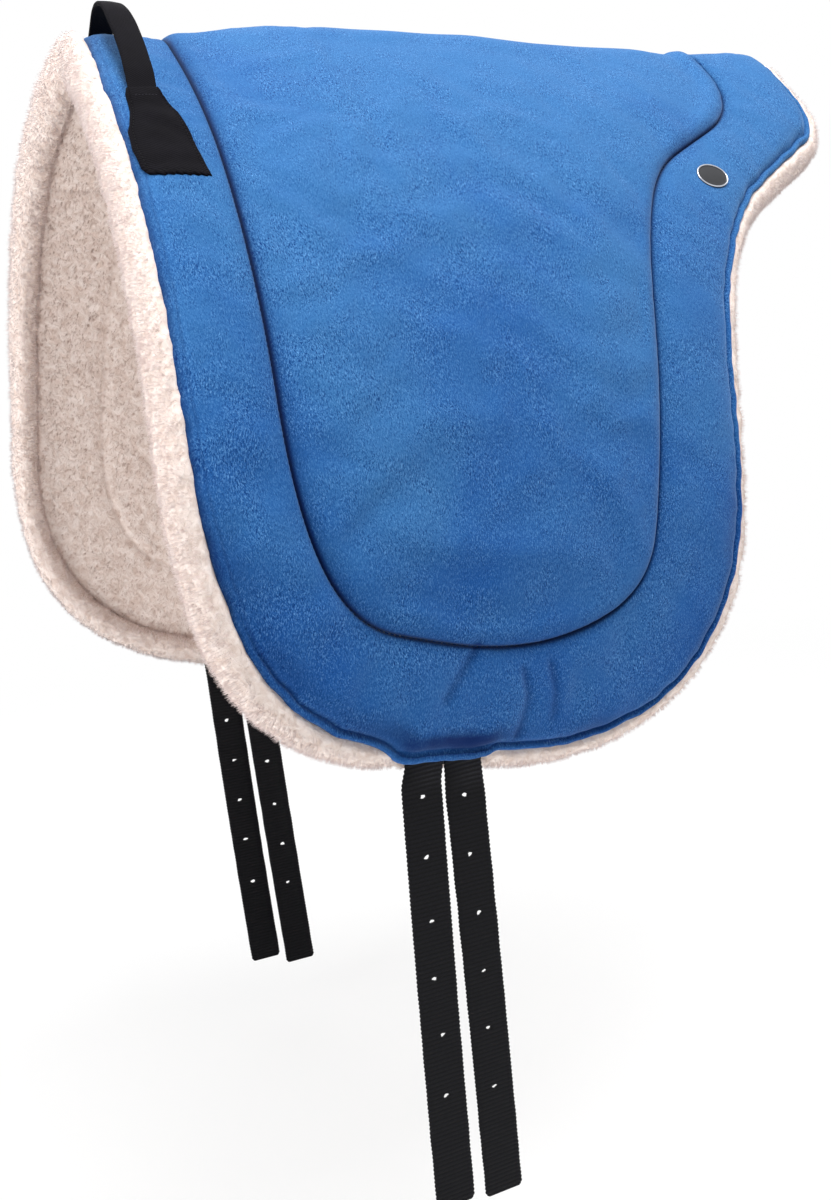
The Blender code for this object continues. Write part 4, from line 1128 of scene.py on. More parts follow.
@dataclass
class Cover:
    """The velour cover: the seat inside the quilted seam, and the border round it."""

    arch: Arch
    layers: Layers
    edge: Outline
    seam: Outline
    girthing: Girthing
    swell: ClothSwell
    web_reach: float = 0.036
    seam_width: float = 0.013
    border_seam_width: float = 0.016
    edge_profile: tuple = ((0.0, 0.0185), (0.0005, 0.0222), (0.0014, 0.0242), (0.0030, 0.0251),
                           (0.0046, 0.0247), (0.0058, 0.0234), (0.0067, 0.0219), (0.0075, 0.0228),
                           (0.0092, 0.0259), (0.0130, 0.0286), (0.0180, 0.0301), (0.0260, 0.0308),
                           (1.0, 0.0308))
    plain_profile: tuple = ((0.0, 0.0185), (0.0005, 0.0210), (0.0020, 0.0238), (0.0050, 0.0266),
                            (0.0100, 0.0290), (0.0160, 0.0302), (0.0260, 0.0308), (1.0, 0.0308))
    creases: tuple = (((-0.136, 0.572), (-0.1385, 0.578), (-0.150, 0.590), (-0.165, 0.607)),
                      ((-0.096, 0.598), (-0.0924, 0.622), (-0.101, 0.6505)),
                      ((-0.0707, 0.597), (-0.0675, 0.618), (-0.0683, 0.640)))
    crease_width: float = 0.0038
    stitch_inset: float = 0.0067
    fold_slant: float = math.radians(50.0)

    def folds(self, places: np.ndarray) -> np.ndarray:
        """Return the long slanting folds in which the flap's velour hangs, from about -1 to 1."""
        s, out = places[:, 0], np.abs(places[:, 1])
        along = s * math.cos(self.fold_slant) - out * math.sin(self.fold_slant)
        across = s * math.sin(self.fold_slant) + out * math.cos(self.fold_slant)
        return ripple(extended(along / 3.2, across), 0.026, 21.0) * smooth((out - 0.30) / 0.28)

    def creased(self, places: np.ndarray) -> np.ndarray:
        """Return how deep places lie in the drawn creases above the billets, from 0 to 1."""
        depth = np.zeros(len(places))
        shift = np.where(places[:, 1] > 0.0, 0.011, 0.0)
        flat = extended(places[:, 0] - shift, np.abs(places[:, 1]))
        near = np.where((flat[:, 1] > 0.55) & (np.abs(flat[:, 0] + 0.115) < 0.08))[0]
        for line in self.creases:
            points = np.array(line)
            for start, end in zip(points, points[1:]):
                run = end - start
                share = np.clip(((flat[near] - start) @ run) / (run @ run), 0.0, 1.0)
                away = np.linalg.norm(flat[near] - start - share[:, None] * run, axis=1)
                depth[near] = np.maximum(depth[near], np.exp(-(away / self.crease_width) ** 2))
        return depth

    def seat_height(self, places: np.ndarray) -> np.ndarray:
        """Return the height of the seat's velour at rows of (s, t)."""
        away = self.seam.distance(places)
        low, full = self.layers.seam, self.layers.seat
        height = low + (full - low) * quarter(away / self.seam_width)
        height += (self.layers.crown - full) * smooth(away / 0.07)
        height += 0.0006 * smooth(away / 0.02) * ripple(places, 0.055, 3.0)
        pucker = ripple(places, 0.011, 9.0) * np.exp(-away / 0.012) * smooth(away / 0.003)
        height += 0.0006 * pucker + 0.0008 * smooth(away / 0.03) * self.folds(places)
        spine = np.exp(-(places[:, 1] / 0.12) ** 2)
        flat = 0.0020 + 0.0038 * smooth((places[:, 0] - 0.02) / 0.1)
        height -= smooth(away / 0.03) * flat * spine + 0.0014 * smooth(away / 0.01) * self.creased(places)
        height -= 0.0016 * (1.0 - smooth(away / 0.0016))
        return height + smooth(away / 0.02) * self.swell.at(places) * (1.0 - 0.5 * spine)

    def set_pressed_nap_and_shade(self, piece: Object, places: np.ndarray, seam_slope_shade: float) -> None:
        """Mark where the velour is darkened: the nap pressed flat over the billets, and painted shade in the
        seams and on the slopes beside them, in the creases and the stitched groove, along the front edge and
        on the slope above the flange.
        """
        out = np.abs(places[:, 1])
        away, inward = self.seam.distance(places), self.edge.distance(places)
        middle = places[:, 0] - self.girthing.middle(places[:, 1])
        # Painted shade in the seam's groove and on the slope beside it
        pressed = 0.85 * np.exp(-(away / 0.0017) ** 2) + seam_slope_shade * np.exp(-(away / 0.0075) ** 2)
        # Painted shade in the creases and in the stitched groove
        pressed += 0.45 * self.creased(places) + 0.3 * np.exp(-((inward - self.stitch_inset) / 0.001) ** 2)
        # Painted shadow: a dark strip along the front edge, where no flange stands out
        pressed += 0.75 * (1.0 - self.flanged(places)) * np.exp(-(inward / 0.0042) ** 2)
        # Painted shade on the slope above the flange, low on the flaps
        flange_slope_shade = smooth((out - 0.42) / 0.1) * np.exp(-((inward - 0.012) / 0.010) ** 2)
        pressed += 0.32 * flange_slope_shade * (1.0 + 0.7 * ripple(places, 0.05, 17.0))
        # A darker patch where the nap is pressed flat over the billets' tops
        over = np.exp(-((inward - 0.0172) / 0.0078) ** 4) * np.exp(-(middle / 0.043) ** 4) * (out > 0.5)
        pressed += over * (0.88 + 0.12 * ripple(places, 0.012, 14.0))
        set_attribute(piece.data, PRESSED_NAP_AND_SHADE, np.clip(pressed, 0.0, 1.0))

    def flanged(self, places: np.ndarray) -> np.ndarray:
        """Return how far the flange stands out of the edge: hardly in front, in full below and behind."""
        return smooth(np.maximum((np.abs(places[:, 1]) - 0.47) / 0.12, (places[:, 0] + 0.10) / 0.10))

    def border_height(self, places: np.ndarray) -> np.ndarray:
        """Return the height of the border's velour at rows of (s, t)."""
        over = self.girthing.covered(places, self.web_reach, 0.006)
        from_seam = self.seam.distance(places)
        from_edge = self.edge.distance(places)
        low, full = self.layers.seam, self.layers.border
        rise = low + (full - low) * quarter(from_seam / self.border_seam_width)
        flange = self.flanged(places)
        stretch = (1.0 + 0.4 * over) * (0.5 + 0.5 * flange)
        fall = np.interp(from_edge / stretch, *np.array(self.edge_profile).T)
        plain = np.interp(from_edge, *np.array(self.plain_profile).T)
        height = np.minimum(rise, plain + (fall - plain) * flange)
        inside = smooth((from_edge - 0.007) / 0.014) * smooth(from_seam / 0.01)
        height += inside * (0.0006 * ripple(places, 0.04, 5.0) + 0.0016 * self.folds(places))
        height += 0.0005 * ripple(places, 0.012, 8.0) * np.exp(-from_edge / 0.016) * smooth(from_edge / 0.002)
        height -= 0.0019 * smooth((from_edge - 0.007) / 0.004) * self.creased(places)
        tail = smooth((places[:, 0] - 0.30) / 0.03) * np.exp(-(places[:, 1] / 0.16) ** 2)
        height += inside * 0.0018 * tail
        height += 0.0012 * over * smooth((0.030 - from_edge) / 0.006)
        height -= 0.0016 * (1.0 - smooth(from_seam / 0.0013))
        badge = np.hypot(places[:, 0] - BADGE_S, places[:, 1] + BADGE_DROP)
        return height + inside * self.swell.at(places) * smooth((badge - 0.016) / 0.02)

    def build_seat(self) -> Object:
        """Build the seat as a closed cushion."""
        shell = Shell()
        loops = [self.seam.offset(-0.0001 - away).ring
                 for away in (0.0, 0.0006, 0.0014, 0.0025, 0.004, 0.006, 0.0085, 0.0115, 0.015)]
        rows = [shell.add(extended(loop, self.seat_height(loop))) for loop in loops]
        shell.loft(rows)
        shell.fill(rows[-1], loops[-1], self.seat_height)
        self.close_under(shell, loops[0], rows[0])
        piece = shell.mesh("seat_velour", self.arch)
        face_outwards(piece)
        self.set_pressed_nap_and_shade(piece, np.concatenate(shell.places)[:, :2], 0.38)
        return piece

    def close_under(self, shell: Shell, loop: np.ndarray, row: np.ndarray) -> None:
        """Close the seat below its outermost row with a plain underside."""
        step = 4
        floor = self.layers.foam_low
        low = shell.add(extended(loop, floor))
        shell.strip(low, row)
        ring = self.seam.offset(-0.008).ring[::step]
        coarse = shell.add(extended(ring, floor))
        shell.thin_out(low, coarse, step)
        shell.fill(coarse, ring, floor, turned=True, step=step)

    def build_border(self) -> Object:
        """Build the border as a closed ring between the seam and the edge."""
        shell = Shell()
        rows = []
        width = np.linalg.norm(self.edge.ring - self.seam.ring, axis=1)
        way = (self.edge.ring - self.seam.ring) / width[:, None]
        near_seam = (0.0002, 0.0009, 0.0018, 0.003, 0.0048, 0.007, 0.010, 0.014)
        near_edge = (0.026, 0.021, 0.0175, 0.0145, 0.012, 0.010, 0.0085, 0.0076, 0.0068, 0.006, 0.0052,
                     0.0042, 0.0032, 0.0022, 0.0014, 0.0008, 0.0003, 0.0)
        start, end = near_seam[-1], near_edge[0]
        middle = [start + (width - end - start) * share / 9.0 for share in range(1, 9)]
        for away in [*near_seam, *middle, *(width - near for near in near_edge)]:
            loop = self.seam.ring + way * np.broadcast_to(away, width.shape)[:, None]
            rows.append(shell.add(extended(loop, self.border_height(loop))))
        inside = shell.add(extended(self.seam.ring + way * near_seam[0], self.layers.foam_low))
        outside = shell.add(extended(self.edge.ring - way * 0.004, self.layers.web_high + 0.0002))
        shell.loft([*rows, outside, inside, rows[0]])
        piece = shell.mesh("border_velour", self.arch)
        face_outwards(piece)
        self.set_pressed_nap_and_shade(piece, np.concatenate(shell.places)[:, :2], 0.15)
        return piece


@dataclass
class Fleece:
    """The lambswool: a roll that binds the edge, and the lining under the pad."""

    arch: Arch
    layers: Layers
    edge: Outline
    seam: Outline
    girthing: Girthing
    wide: float = 0.0115
    reach: float = 0.0155
    deep: float = 0.0165
    top: float = 0.0222
    web_reach: float = 0.037
    crease: float = 0.14
    cushion_inside: float = 0.046
    cushion_puff: float = 0.012
    rim_inset: float = 0.006

    def build_roll(self) -> Object:
        """Build the roll's backing as a closed tube round the edge."""
        shell = Shell()
        rows = []
        shares = []
        seen = 24
        hidden = 6
        ring = self.edge.ring
        pressed = self.girthing.covered(ring, self.web_reach, 0.008)
        lifted = 0.0065 * np.exp(-(ring[:, 1] / 0.075) ** 2) * (ring[:, 0] < 0.0)
        ahead = smooth((self.girthing.pair - ring[:, 0]) / 0.04)
        low = smooth((np.abs(ring[:, 1]) - 0.48) / 0.1)
        dropped = (0.0024 + 0.0018 * ahead) * low
        lifted += 0.0032 * low * (1.0 - self.girthing.covered(ring, 0.042, 0.030))
        middle = (self.top - self.deep) / 2.0
        half = (self.top + self.deep) / 2.0
        for index in range(seen + hidden):
            if index < seen:
                angle = math.radians(100.0) - math.radians(255.0) * index / (seen - 1)
                out = self.reach + dropped - (self.wide + dropped / 2.0) * (1.0 - math.cos(angle))
                height = middle + half * math.sin(angle)
                share = (0.0, 0.15, 0.5)[index] if index < 3 else 1.0
            else:
                back = (index - seen + 1) / (hidden + 1)
                out = -0.0085 + 0.002 * math.cos(math.pi * back)
                height = -0.004 + (self.top - 0.005) * back
                share = 0.0
            loop = self.edge.offset(out).ring
            heights = np.full(len(ring), height)
            if index < seen:
                here = extended(loop, height * 1.6)
                swell = 0.0011 * ripple(here, 0.013, 2.0) + 0.0006 * ripple(here, 0.006, 6.0)
                loop = loop + self.edge.outward * (swell * math.cos(angle))[:, None]
                heights = heights + swell * math.sin(angle)
                heights = heights + lifted * max(0.0, math.sin(angle))
            lowest = self.layers.web_low - 0.0035
            heights = heights + pressed * (np.minimum(heights, lowest) - heights)
            rows.append(shell.add(extended(loop, heights)))
            shares.append(share * (1.0 - pressed * (heights > lowest - 0.006)))
        shell.loft([*rows, rows[0]])
        piece = shell.mesh("fleece_roll", self.arch)
        face_outwards(piece)
        points = self.arch.drape(np.concatenate(shell.places)).reshape(seen + hidden, -1, 3)
        nap = np.roll(points, -1, axis=0) - points
        nap /= np.maximum(np.linalg.norm(nap, axis=2, keepdims=True), 1e-9)
        set_attribute(piece.data, PILE, np.concatenate(shares))
        set_attribute(piece.data, NAP, nap.reshape(-1, 3))
        return piece

    def lining_height(self, places: np.ndarray) -> np.ndarray:
        """Return the height of the lining's horse-side face at rows of (s, t)."""
        out = np.abs(places[:, 1])
        rim = self.edge.distance(places) - self.rim_inset
        quilt = self.seam.distance(places)
        puff = 0.0055 * quarter(np.maximum(rim, 0.0) / 0.022)
        puff = np.minimum(puff, 0.0008 + 0.0055 * quarter(quilt / 0.018))
        puff = np.minimum(puff, 0.0002 + 0.0055 * quarter(np.abs(out - self.crease) / 0.012))
        inside = np.minimum(out - self.cushion_inside + 0.008, self.crease - out)
        cushion = self.cushion_puff * quarter(inside / 0.022) * quarter(np.maximum(rim, 0.0) / 0.03)
        height = -np.where(out < self.crease, np.maximum(cushion, 0.0), puff)
        soft = smooth(np.maximum(rim, 0.0) / 0.01)
        return height - soft * (0.0010 * ripple(places, 0.03, 4.0) + 0.0005 * ripple(places, 0.010, 1.0))

    def build_lining(self) -> Object:
        """Build the lining's backing as one closed sheet with its quilting and its two spine cushions."""
        shell = Shell()
        rim = self.edge.offset(-self.rim_inset)
        width = np.linalg.norm(rim.ring - self.seam.ring, axis=1)
        way = (self.seam.ring - rim.ring) / width[:, None]
        near_rim = (0.0, 0.001, 0.0025, 0.0045, 0.0075, 0.011, 0.016)
        near_seam = (0.016, 0.011, 0.007, 0.0045, 0.0025, 0.001, -0.001, -0.0025, -0.0045, -0.008)
        middle = [near_rim[-1] + (width - 2.0 * near_rim[-1]) * share / 7.0 for share in range(1, 7)]
        stops = [*near_rim, *middle, *(width - near for near in near_seam)]
        loops = [rim.ring + way * np.broadcast_to(away, width.shape)[:, None] for away in stops]
        rows = [shell.add(extended(loop, self.lining_height(loop))) for loop in loops]
        shell.loft(rows)
        shell.fill(rows[-1], loops[-1], self.lining_height)
        step = 4
        top = self.layers.lining
        back = shell.add(extended(loops[0], top))
        shell.strip(rows[0], back)
        ring = loops[len(near_rim) + 1][::step]
        coarse = shell.add(extended(ring, top))
        shell.thin_out(back, coarse, step)
        shell.fill(coarse, ring, top, step=step)
        piece = shell.mesh("fleece_lining", self.arch)
        face_outwards(piece)
        places = np.concatenate(shell.places)
        seen = places[:, 2] < top - 0.001
        quilt = smooth(self.seam.distance(places[:, :2]) / 0.004)
        crease = smooth(np.abs(np.abs(places[:, 1]) - self.crease) / 0.004)
        nap = np.broadcast_to(np.array([-0.5, 0.0, -0.8]), (len(places), 3))
        set_attribute(piece.data, PILE, np.where(seen, 0.25 + 0.75 * np.minimum(quilt, crease), 0.0))
        set_attribute(piece.data, NAP, nap)
        return piece


@dataclass
class Webbing:
    """The two girth webs in the padding, and the four punched billets that hang from their ends.

    Each billet hangs in its own way: a lean in degrees, a bow and a slip along the edge.
    """

    arch: Arch
    layers: Layers
    edge: Outline
    girthing: Girthing
    joints: dict
    ribs: RibTool
    length: float = 0.350
    first_hole: float = 0.026
    hole_pitch: float = 0.0468
    holes: int = 6
    hole_radius: float = 0.0022
    twist: float = math.radians(6.0)
    end_round: float = 0.004
    rib: float = 0.00335
    rib_depth: float = 0.0004
    rows_per_rib: int = 6
    columns: int = 12
    hangs: dict = field(default_factory=lambda: {
        (Side.LEFT, "front"): (0.45, -0.002, -0.0036), (Side.LEFT, "rear"): (1.7, 0.001, -0.0004),
        (Side.RIGHT, "front"): (3.2, 0.009, 0.0), (Side.RIGHT, "rear"): (3.7, 0.004, 0.0)})

    def build_webs(self) -> list[Object]:
        """Build the webs, which end inside the border."""
        made = []
        contour = flat_contour(self.girthing.width, self.girthing.thickness, 5)
        middle = (self.layers.web_low + self.layers.web_high) / 2.0
        for place in self.girthing.places:
            hinges = (self.girthing.hinge(self.edge, side, place)[1] for side in Side)
            start, end = (side.value * (hinge - WEB_TUCK) for side, hinge in zip(Side, hinges))
            out = np.linspace(start, end, 110)
            rows = (extended(self.girthing.centre(t, place) + contour[:, 0], t) for t in out)
            rings = np.array([self.arch.drape(extended(row, middle + contour[:, 1])) for row in rows])
            flat = np.array([extended(contour[:, 0], t) for t in out])
            made.append(sleeve("girth_webbing_" + place, rings, flat))
        return made

    def build_billet(self, side: Side, place: str) -> Object:
        """Build one billet: woven flat, punched by hand, ribbed, and hung from its web."""
        seed = side.value * 3.0 + self.girthing.places.index(place) * 7.0
        name = f"billet_webbing_{side.name.lower()}_{place}"
        step = self.rib / self.rows_per_rib
        y = np.arange(-WEB_TUCK, self.length, step)
        y = np.append(y[y < self.length - 0.0003], self.length)
        contour = flat_contour(self.girthing.width, self.girthing.thickness, self.columns)
        corner = np.clip((y - self.length + self.end_round) / self.end_round, 0.0, 1.0)
        inset = self.end_round * (1.0 - np.sqrt(1.0 - corner ** 2)) * 0.6
        wave = 0.0004 * np.abs(np.sin(np.pi * y / self.rib)) + 0.00025 * ripple(extended(y, 0.0), 0.02, seed)
        half = self.girthing.width / 2.0
        wide = (half - inset + wave - 0.0002) / half
        thin = 1.0 - 0.25 * corner
        rings = np.stack([extended(extended(contour[:, 0] * w, row), contour[:, 1] * h)
                          for row, w, h in zip(y, wide, thin)])
        flat = np.stack([extended(contour[:, 0], row) for row in y])
        blank = sleeve(name, rings, flat)
        punched = self.punch(blank, seed)
        ribbed = self.ribs.apply(name, punched.data, Pitch=self.rib, Depth=self.rib_depth)
        bpy.data.objects.remove(punched, do_unlink=True)
        ribbed.name = name
        self.hang(ribbed, side, place)
        return ribbed

    def punch(self, blank: Object, seed: float) -> Object:
        """Punch the holes, none quite round and none quite on the line."""
        body = bmesh.new()
        turns = np.linspace(0.0, 2.0 * math.pi, 15)[:-1]
        for index in range(self.holes):
            slip = np.array([noise.noise(Vector((seed + index * 3.7, axis, 0.5))) for axis in (0.0, 5.0)])
            centre = np.array([0.0, self.first_hole + index * self.hole_pitch]) + slip * (0.0025, 0.005)
            radii = [self.hole_radius * (1.0 + 0.55 * noise.noise(
                Vector((math.cos(turn), math.sin(turn), seed + index * 2.3)))) for turn in turns]
            rim = [(centre[0] + radius * 1.2 * math.cos(turn), centre[1] + radius * 0.85 * math.sin(turn))
                   for turn, radius in zip(turns, radii)]
            rings = [[body.verts.new((*place, z)) for place in rim] for z in (-0.004, 0.004)]
            for first in range(len(turns)):
                after = (first + 1) % len(turns)
                body.faces.new((rings[0][first], rings[0][after], rings[1][after], rings[1][first]))
            body.faces.new(rings[0][::-1])
            body.faces.new(rings[1])
        bmesh.ops.recalc_face_normals(body, faces=body.faces)
        mesh = bpy.data.meshes.new("punches")
        body.to_mesh(mesh)
        body.free()
        punches = linked("punches", mesh)
        cut = blank.modifiers.new("punch", "BOOLEAN")
        cut.operation = "DIFFERENCE"
        cut.object = punches
        plain_mesh(blank)
        bpy.data.objects.remove(punches, do_unlink=True)
        return blank

    def hang(self, billet: Object, side: Side, place: str) -> None:
        """Hang a flat billet at its hinge, with its top end drawn up along its web."""
        joint = self.joints[f"billet_{side.name.lower()}_{place}_swing"]
        pivot, along = np.array(joint["pos_m"]), np.array(joint["axis"])
        along = along * math.copysign(1.0, along[0])
        down = np.array([0.0, 0.0, -1.0])
        out = np.cross(along, down)
        count = len(billet.data.vertices)
        flat = np.zeros(count * 3, dtype=np.float32)
        billet.data.vertices.foreach_get("co", flat)
        x, y, z = flat.reshape(-1, 3).T.astype(float)
        degrees, bulge, slip = self.hangs[side, place]
        lean = math.tan(math.radians(degrees))
        bow = bulge * side.value * np.sin(math.pi * np.clip(y / self.length, 0.0, 1.2) * 0.85)
        twist = self.twist * smooth((y + 0.004) / 0.03) * side.value
        across = along * np.cos(twist)[:, None] + out * np.sin(twist)[:, None]
        facing = out * np.cos(twist)[:, None] - along * np.sin(twist)[:, None]
        hung = pivot + x[:, None] * across + y[:, None] * (down + along * lean) + z[:, None] * facing
        hung += bow[:, None] * out + (smooth(y / 0.02) * slip)[:, None] * along
        s, t = self.girthing.hinge(self.edge, side, place)
        middle = (self.layers.web_low + self.layers.web_high) / 2.0
        webbed = self.arch.drape(np.column_stack([s + x, side.value * (t + y), middle + side.value * z]))
        webbed += pivot - np.array(self.arch.point(s, side.value * t, middle))
        share = smooth((y + 0.006) / 0.012)[:, None]
        points = webbed * (1.0 - share) + hung * share
        billet.data.vertices.foreach_set("co", points.astype(np.float32).ravel())
        billet.data.update()

    def swing(self, billet: Object) -> None:
        """Bake a billet's place into its mesh."""
        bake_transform(billet)


@dataclass
class Handle:
    """The webbing handle over the withers, and the twill tabs that hold its ends."""

    arch: Arch
    cover: Cover
    root: float = -0.2968
    sway: float = 0.0085
    far_sway: float = 0.012
    width: float = 0.0256
    waist: float = 0.16
    thickness: float = 0.0034
    underside: float = 0.0318
    rise: float = 0.0190
    tab_top: float = 0.1285
    end: float = 0.1375
    sewn: float = 0.136
    tab_lift: float = 0.0038
    tab_flat: float = 0.150
    rows: int = 240
    front_edge: tuple = ((0.1285, -0.3078), (0.1362, -0.3088), (0.150, -0.3104), (0.165, -0.3146),
                         (0.171, -0.3172), (0.190, -0.3190), (0.2080, -0.3178), (0.2130, -0.3152),
                         (0.217, -0.3110))
    rear_edge: tuple = ((0.1285, -0.2846), (0.1362, -0.2828), (0.145, -0.2792), (0.154, -0.2762),
                        (0.175, -0.2736), (0.195, -0.2722), (0.216, -0.2704))
    tab_bottom: tuple = (0.2160, 0.2172)
    tab_width: float = 0.045
    tab_thickness: float = 0.0015
    hem: float = 0.0030

    def build_strap(self) -> Object:
        """Build the strap, two webs thick, thinning towards each end."""
        t = np.linspace(-self.end, self.end, self.rows)
        out = np.abs(t)
        share = np.minimum(out / self.sewn, 1.0)
        centre = self.root + self.sway * (1.0 - share ** 2)
        centre += self.far_sway * np.exp(-((t - 0.04) / 0.035) ** 2)
        thick = self.thickness * (1.0 - 0.62 * smooth((out - 0.108) / 0.022))
        height = self.underside + self.rise * (1.0 - share ** 1.5) + thick / 2.0
        middle, beside = (self.arch.drape(np.column_stack([centre + shift, t, height]))
                          for shift in (0.0, 0.001))
        tangent = np.gradient(middle, axis=0)
        tangent /= np.linalg.norm(tangent, axis=1, keepdims=True)
        up = np.cross(beside - middle, tangent)
        up /= np.linalg.norm(up, axis=1, keepdims=True)
        side = np.cross(tangent, up)
        contour = flat_contour(self.width, self.thickness, 17, groove=0.0006)
        sag = 0.0006 * np.cos(np.pi * contour[:, 0] / self.width)
        wide = 1.0 - self.waist * (smooth((0.160 - out) / 0.02) + smooth((0.05 - out) / 0.045))
        wide += 0.012 * ripple(extended(t, 0.0), 0.02, 4.0)
        rings = (middle[:, None] + side[:, None] * (contour[:, 0][None, :, None] * wide[:, None, None])
                 + up[:, None] * ((contour[:, 1] * (thick / self.thickness)[:, None] + sag)[:, :, None]))
        run = np.concatenate([[0.0], np.cumsum(np.linalg.norm(np.diff(middle, axis=0), axis=1))])
        flat = np.stack([extended(contour[:, 0], place) for place in run])
        return sleeve("handle_webbing", rings, flat)

    def tab_places(self, u: np.ndarray, v: np.ndarray) -> np.ndarray:
        """Return (s, t) on the left tab for shares across it and down it."""
        bottom = self.tab_bottom[0] + (self.tab_bottom[1] - self.tab_bottom[0]) * u
        bottom = bottom + 0.0005 * np.sin(u * 44.0) * smooth(v / 0.6) - 0.0016 * np.exp(-(u / 0.08) ** 2)
        t = self.tab_top + (bottom - self.tab_top) * v
        low, high = (np.interp(t, *np.array(line).T) for line in (self.front_edge, self.rear_edge))
        return extended(low + (high - low) * u, t)

    def raised(self, places: np.ndarray) -> np.ndarray:
        """Return how far a tab's top end is raised over the strap, as a share."""
        return smooth((self.tab_flat - np.abs(places[:, 1])) / (self.tab_flat - self.tab_top))

    def tab_height(self, places: np.ndarray) -> np.ndarray:
        """Return the height of the velour that a tab bridges."""
        near = [self.cover.border_height(places + np.array([shift, 0.0])) for shift in (0.0, 0.003, 0.006)]
        bridged = np.maximum.reduce([near[0], near[1] - 0.0004, near[2] - 0.0012])
        return bridged + self.tab_lift * self.raised(places)

    def build_tab(self, side: Side) -> Object:
        """Build one tab: a twill patch with a turned and sewn hem."""
        across, down = 46, 70
        u, v = np.meshgrid(np.linspace(0.0, 1.0, across), np.linspace(0.0, 1.0, down))
        flat = self.tab_places(u.ravel(), v.ravel())
        flat[:, 1] *= side.value
        tall = self.tab_bottom[1] - self.tab_top
        from_hem = np.minimum(np.minimum(u, 1.0 - u).ravel() * self.tab_width, (1.0 - v).ravel() * tall)
        sewn = np.exp(-((from_hem - self.hem) / 0.0007) ** 2)
        rim = quarter(from_hem / 0.0009)
        height = self.tab_height(flat) + self.tab_thickness * (0.35 + 0.65 * rim) - 0.0006 * sewn
        height += 0.0003 * smooth((self.hem - from_hem) / 0.002) * rim
        low = self.tab_height(flat) - 0.0004 - self.raised(flat) * (self.tab_lift + 0.0008)
        shell = Shell()
        upper, lower = (shell.add(extended(flat, face)).reshape(down, across) for face in (height, low))
        for grid in (upper, lower):
            quads = np.stack([grid[:-1, :-1], grid[:-1, 1:], grid[1:, 1:], grid[1:, :-1]], axis=-1)
            shell.faces += quads.reshape(-1, 4).tolist()
        for place in (np.s_[0], np.s_[-1], np.s_[:, 0], np.s_[:, -1]):
            first, second = upper[place], lower[place]
            shell.faces += list(zip(first[:-1], first[1:], second[1:], second[:-1]))
        piece = shell.mesh(f"handle_patch_{side.name.lower()}", self.arch)
        face_outwards(piece)
        return piece

    def hem_places(self, side: Side) -> np.ndarray:
        """Return the line of the hem's stitches on one tab."""
        inset_u, inset_v = self.hem / self.tab_width, self.hem / (self.tab_bottom[1] - self.tab_top)
        down = [(inset_u, v) for v in np.linspace(0.16, 1.0 - inset_v, 30)]
        across = [(u, 1.0 - inset_v) for u in np.linspace(inset_u, 1.0 - inset_u, 30)[1:-1]]
        up = [(1.0 - inset_u, v) for v in np.linspace(1.0 - inset_v, 0.16, 30)]
        shares = np.array(down + across + up)
        flat = self.tab_places(shares[:, 0], shares[:, 1])
        flat[:, 1] *= side.value
        return extended(flat, self.tab_height(flat) + self.tab_thickness - 0.0004)

    def root_places(self, side: Side) -> np.ndarray:
        """Return the short line of stitches under a strap end."""
        flat = extended(np.linspace(-0.3030, -0.2885, 12), 0.1370 * side.value)
        return extended(flat, self.tab_height(flat) + self.tab_thickness + 0.0001)

    def rock(self, strap: Object) -> None:
        """Bake the strap's place into its mesh; the points at its roots are worked out but not used."""
        start = self.arch.point(self.root, 0.085, self.underside)
        end = self.arch.point(self.root, 0.112, self.underside)
        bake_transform(strap)


@dataclass
class OvalBadge:
    """A plain oval badge with a raised rim round a soft dome."""

    arch: Arch
    cover: Cover
    length: float = 0.034
    tall: float = 0.025
    around: int = 72
    profile: tuple = ((0.0, -0.0030), (0.0, 0.0010), (0.0002, 0.0014), (0.0006, 0.0016), (0.0010, 0.0015),
                      (0.0013, 0.0012), (0.0016, 0.0009), (0.0024, 0.0009), (0.0045, 0.0011), (0.008, 0.0013),
                      (0.0122, 0.0014))
    rim_rows: int = 5

    def build(self) -> Object:
        """Build the badge."""
        s, t = BADGE_S, -BADGE_DROP
        turns = np.linspace(0.0, 2.0 * math.pi, 13)
        under = extended(s + 0.016 * np.cos(turns), t + 0.012 * np.sin(turns))
        face = float(self.cover.border_height(under).max())
        centre = np.array(self.arch.point(s, t, face - 0.0004))
        half = self.tall / 2.0
        along = np.array(self.arch.point(s + half, t, 0.03) - self.arch.point(s - half, t, 0.03))
        down = np.array(self.arch.point(s, t - half, 0.03) - self.arch.point(s, t + half, 0.03))
        along /= np.linalg.norm(along)
        out = np.cross(down, along)
        out *= -math.copysign(1.0, out[1]) / np.linalg.norm(out)
        down = np.cross(out, along)
        turns = np.linspace(0.0, 2.0 * math.pi, self.around + 1)[:-1]
        rings = []
        for inset, lift in self.profile:
            wide, tall = self.length / 2.0 - inset, half - inset
            rings.append(centre + np.outer(np.cos(turns) * wide, along) + np.outer(np.sin(turns) * tall, down)
                         + out * lift)
        points = np.array(rings)
        return sleeve("oval_badge", points, np.zeros((*points.shape[:2], 2)))

    def dress_rim(self, piece: Object, rim: Material) -> None:
        """Give the raised rim its own finish."""
        piece.data.materials.append(rim)
        for polygon in piece.data.polygons:
            row = min(polygon.vertices) // self.around
            polygon.material_index = 1 if 0 < row < self.rim_rows and len(polygon.vertices) == 4 else 0


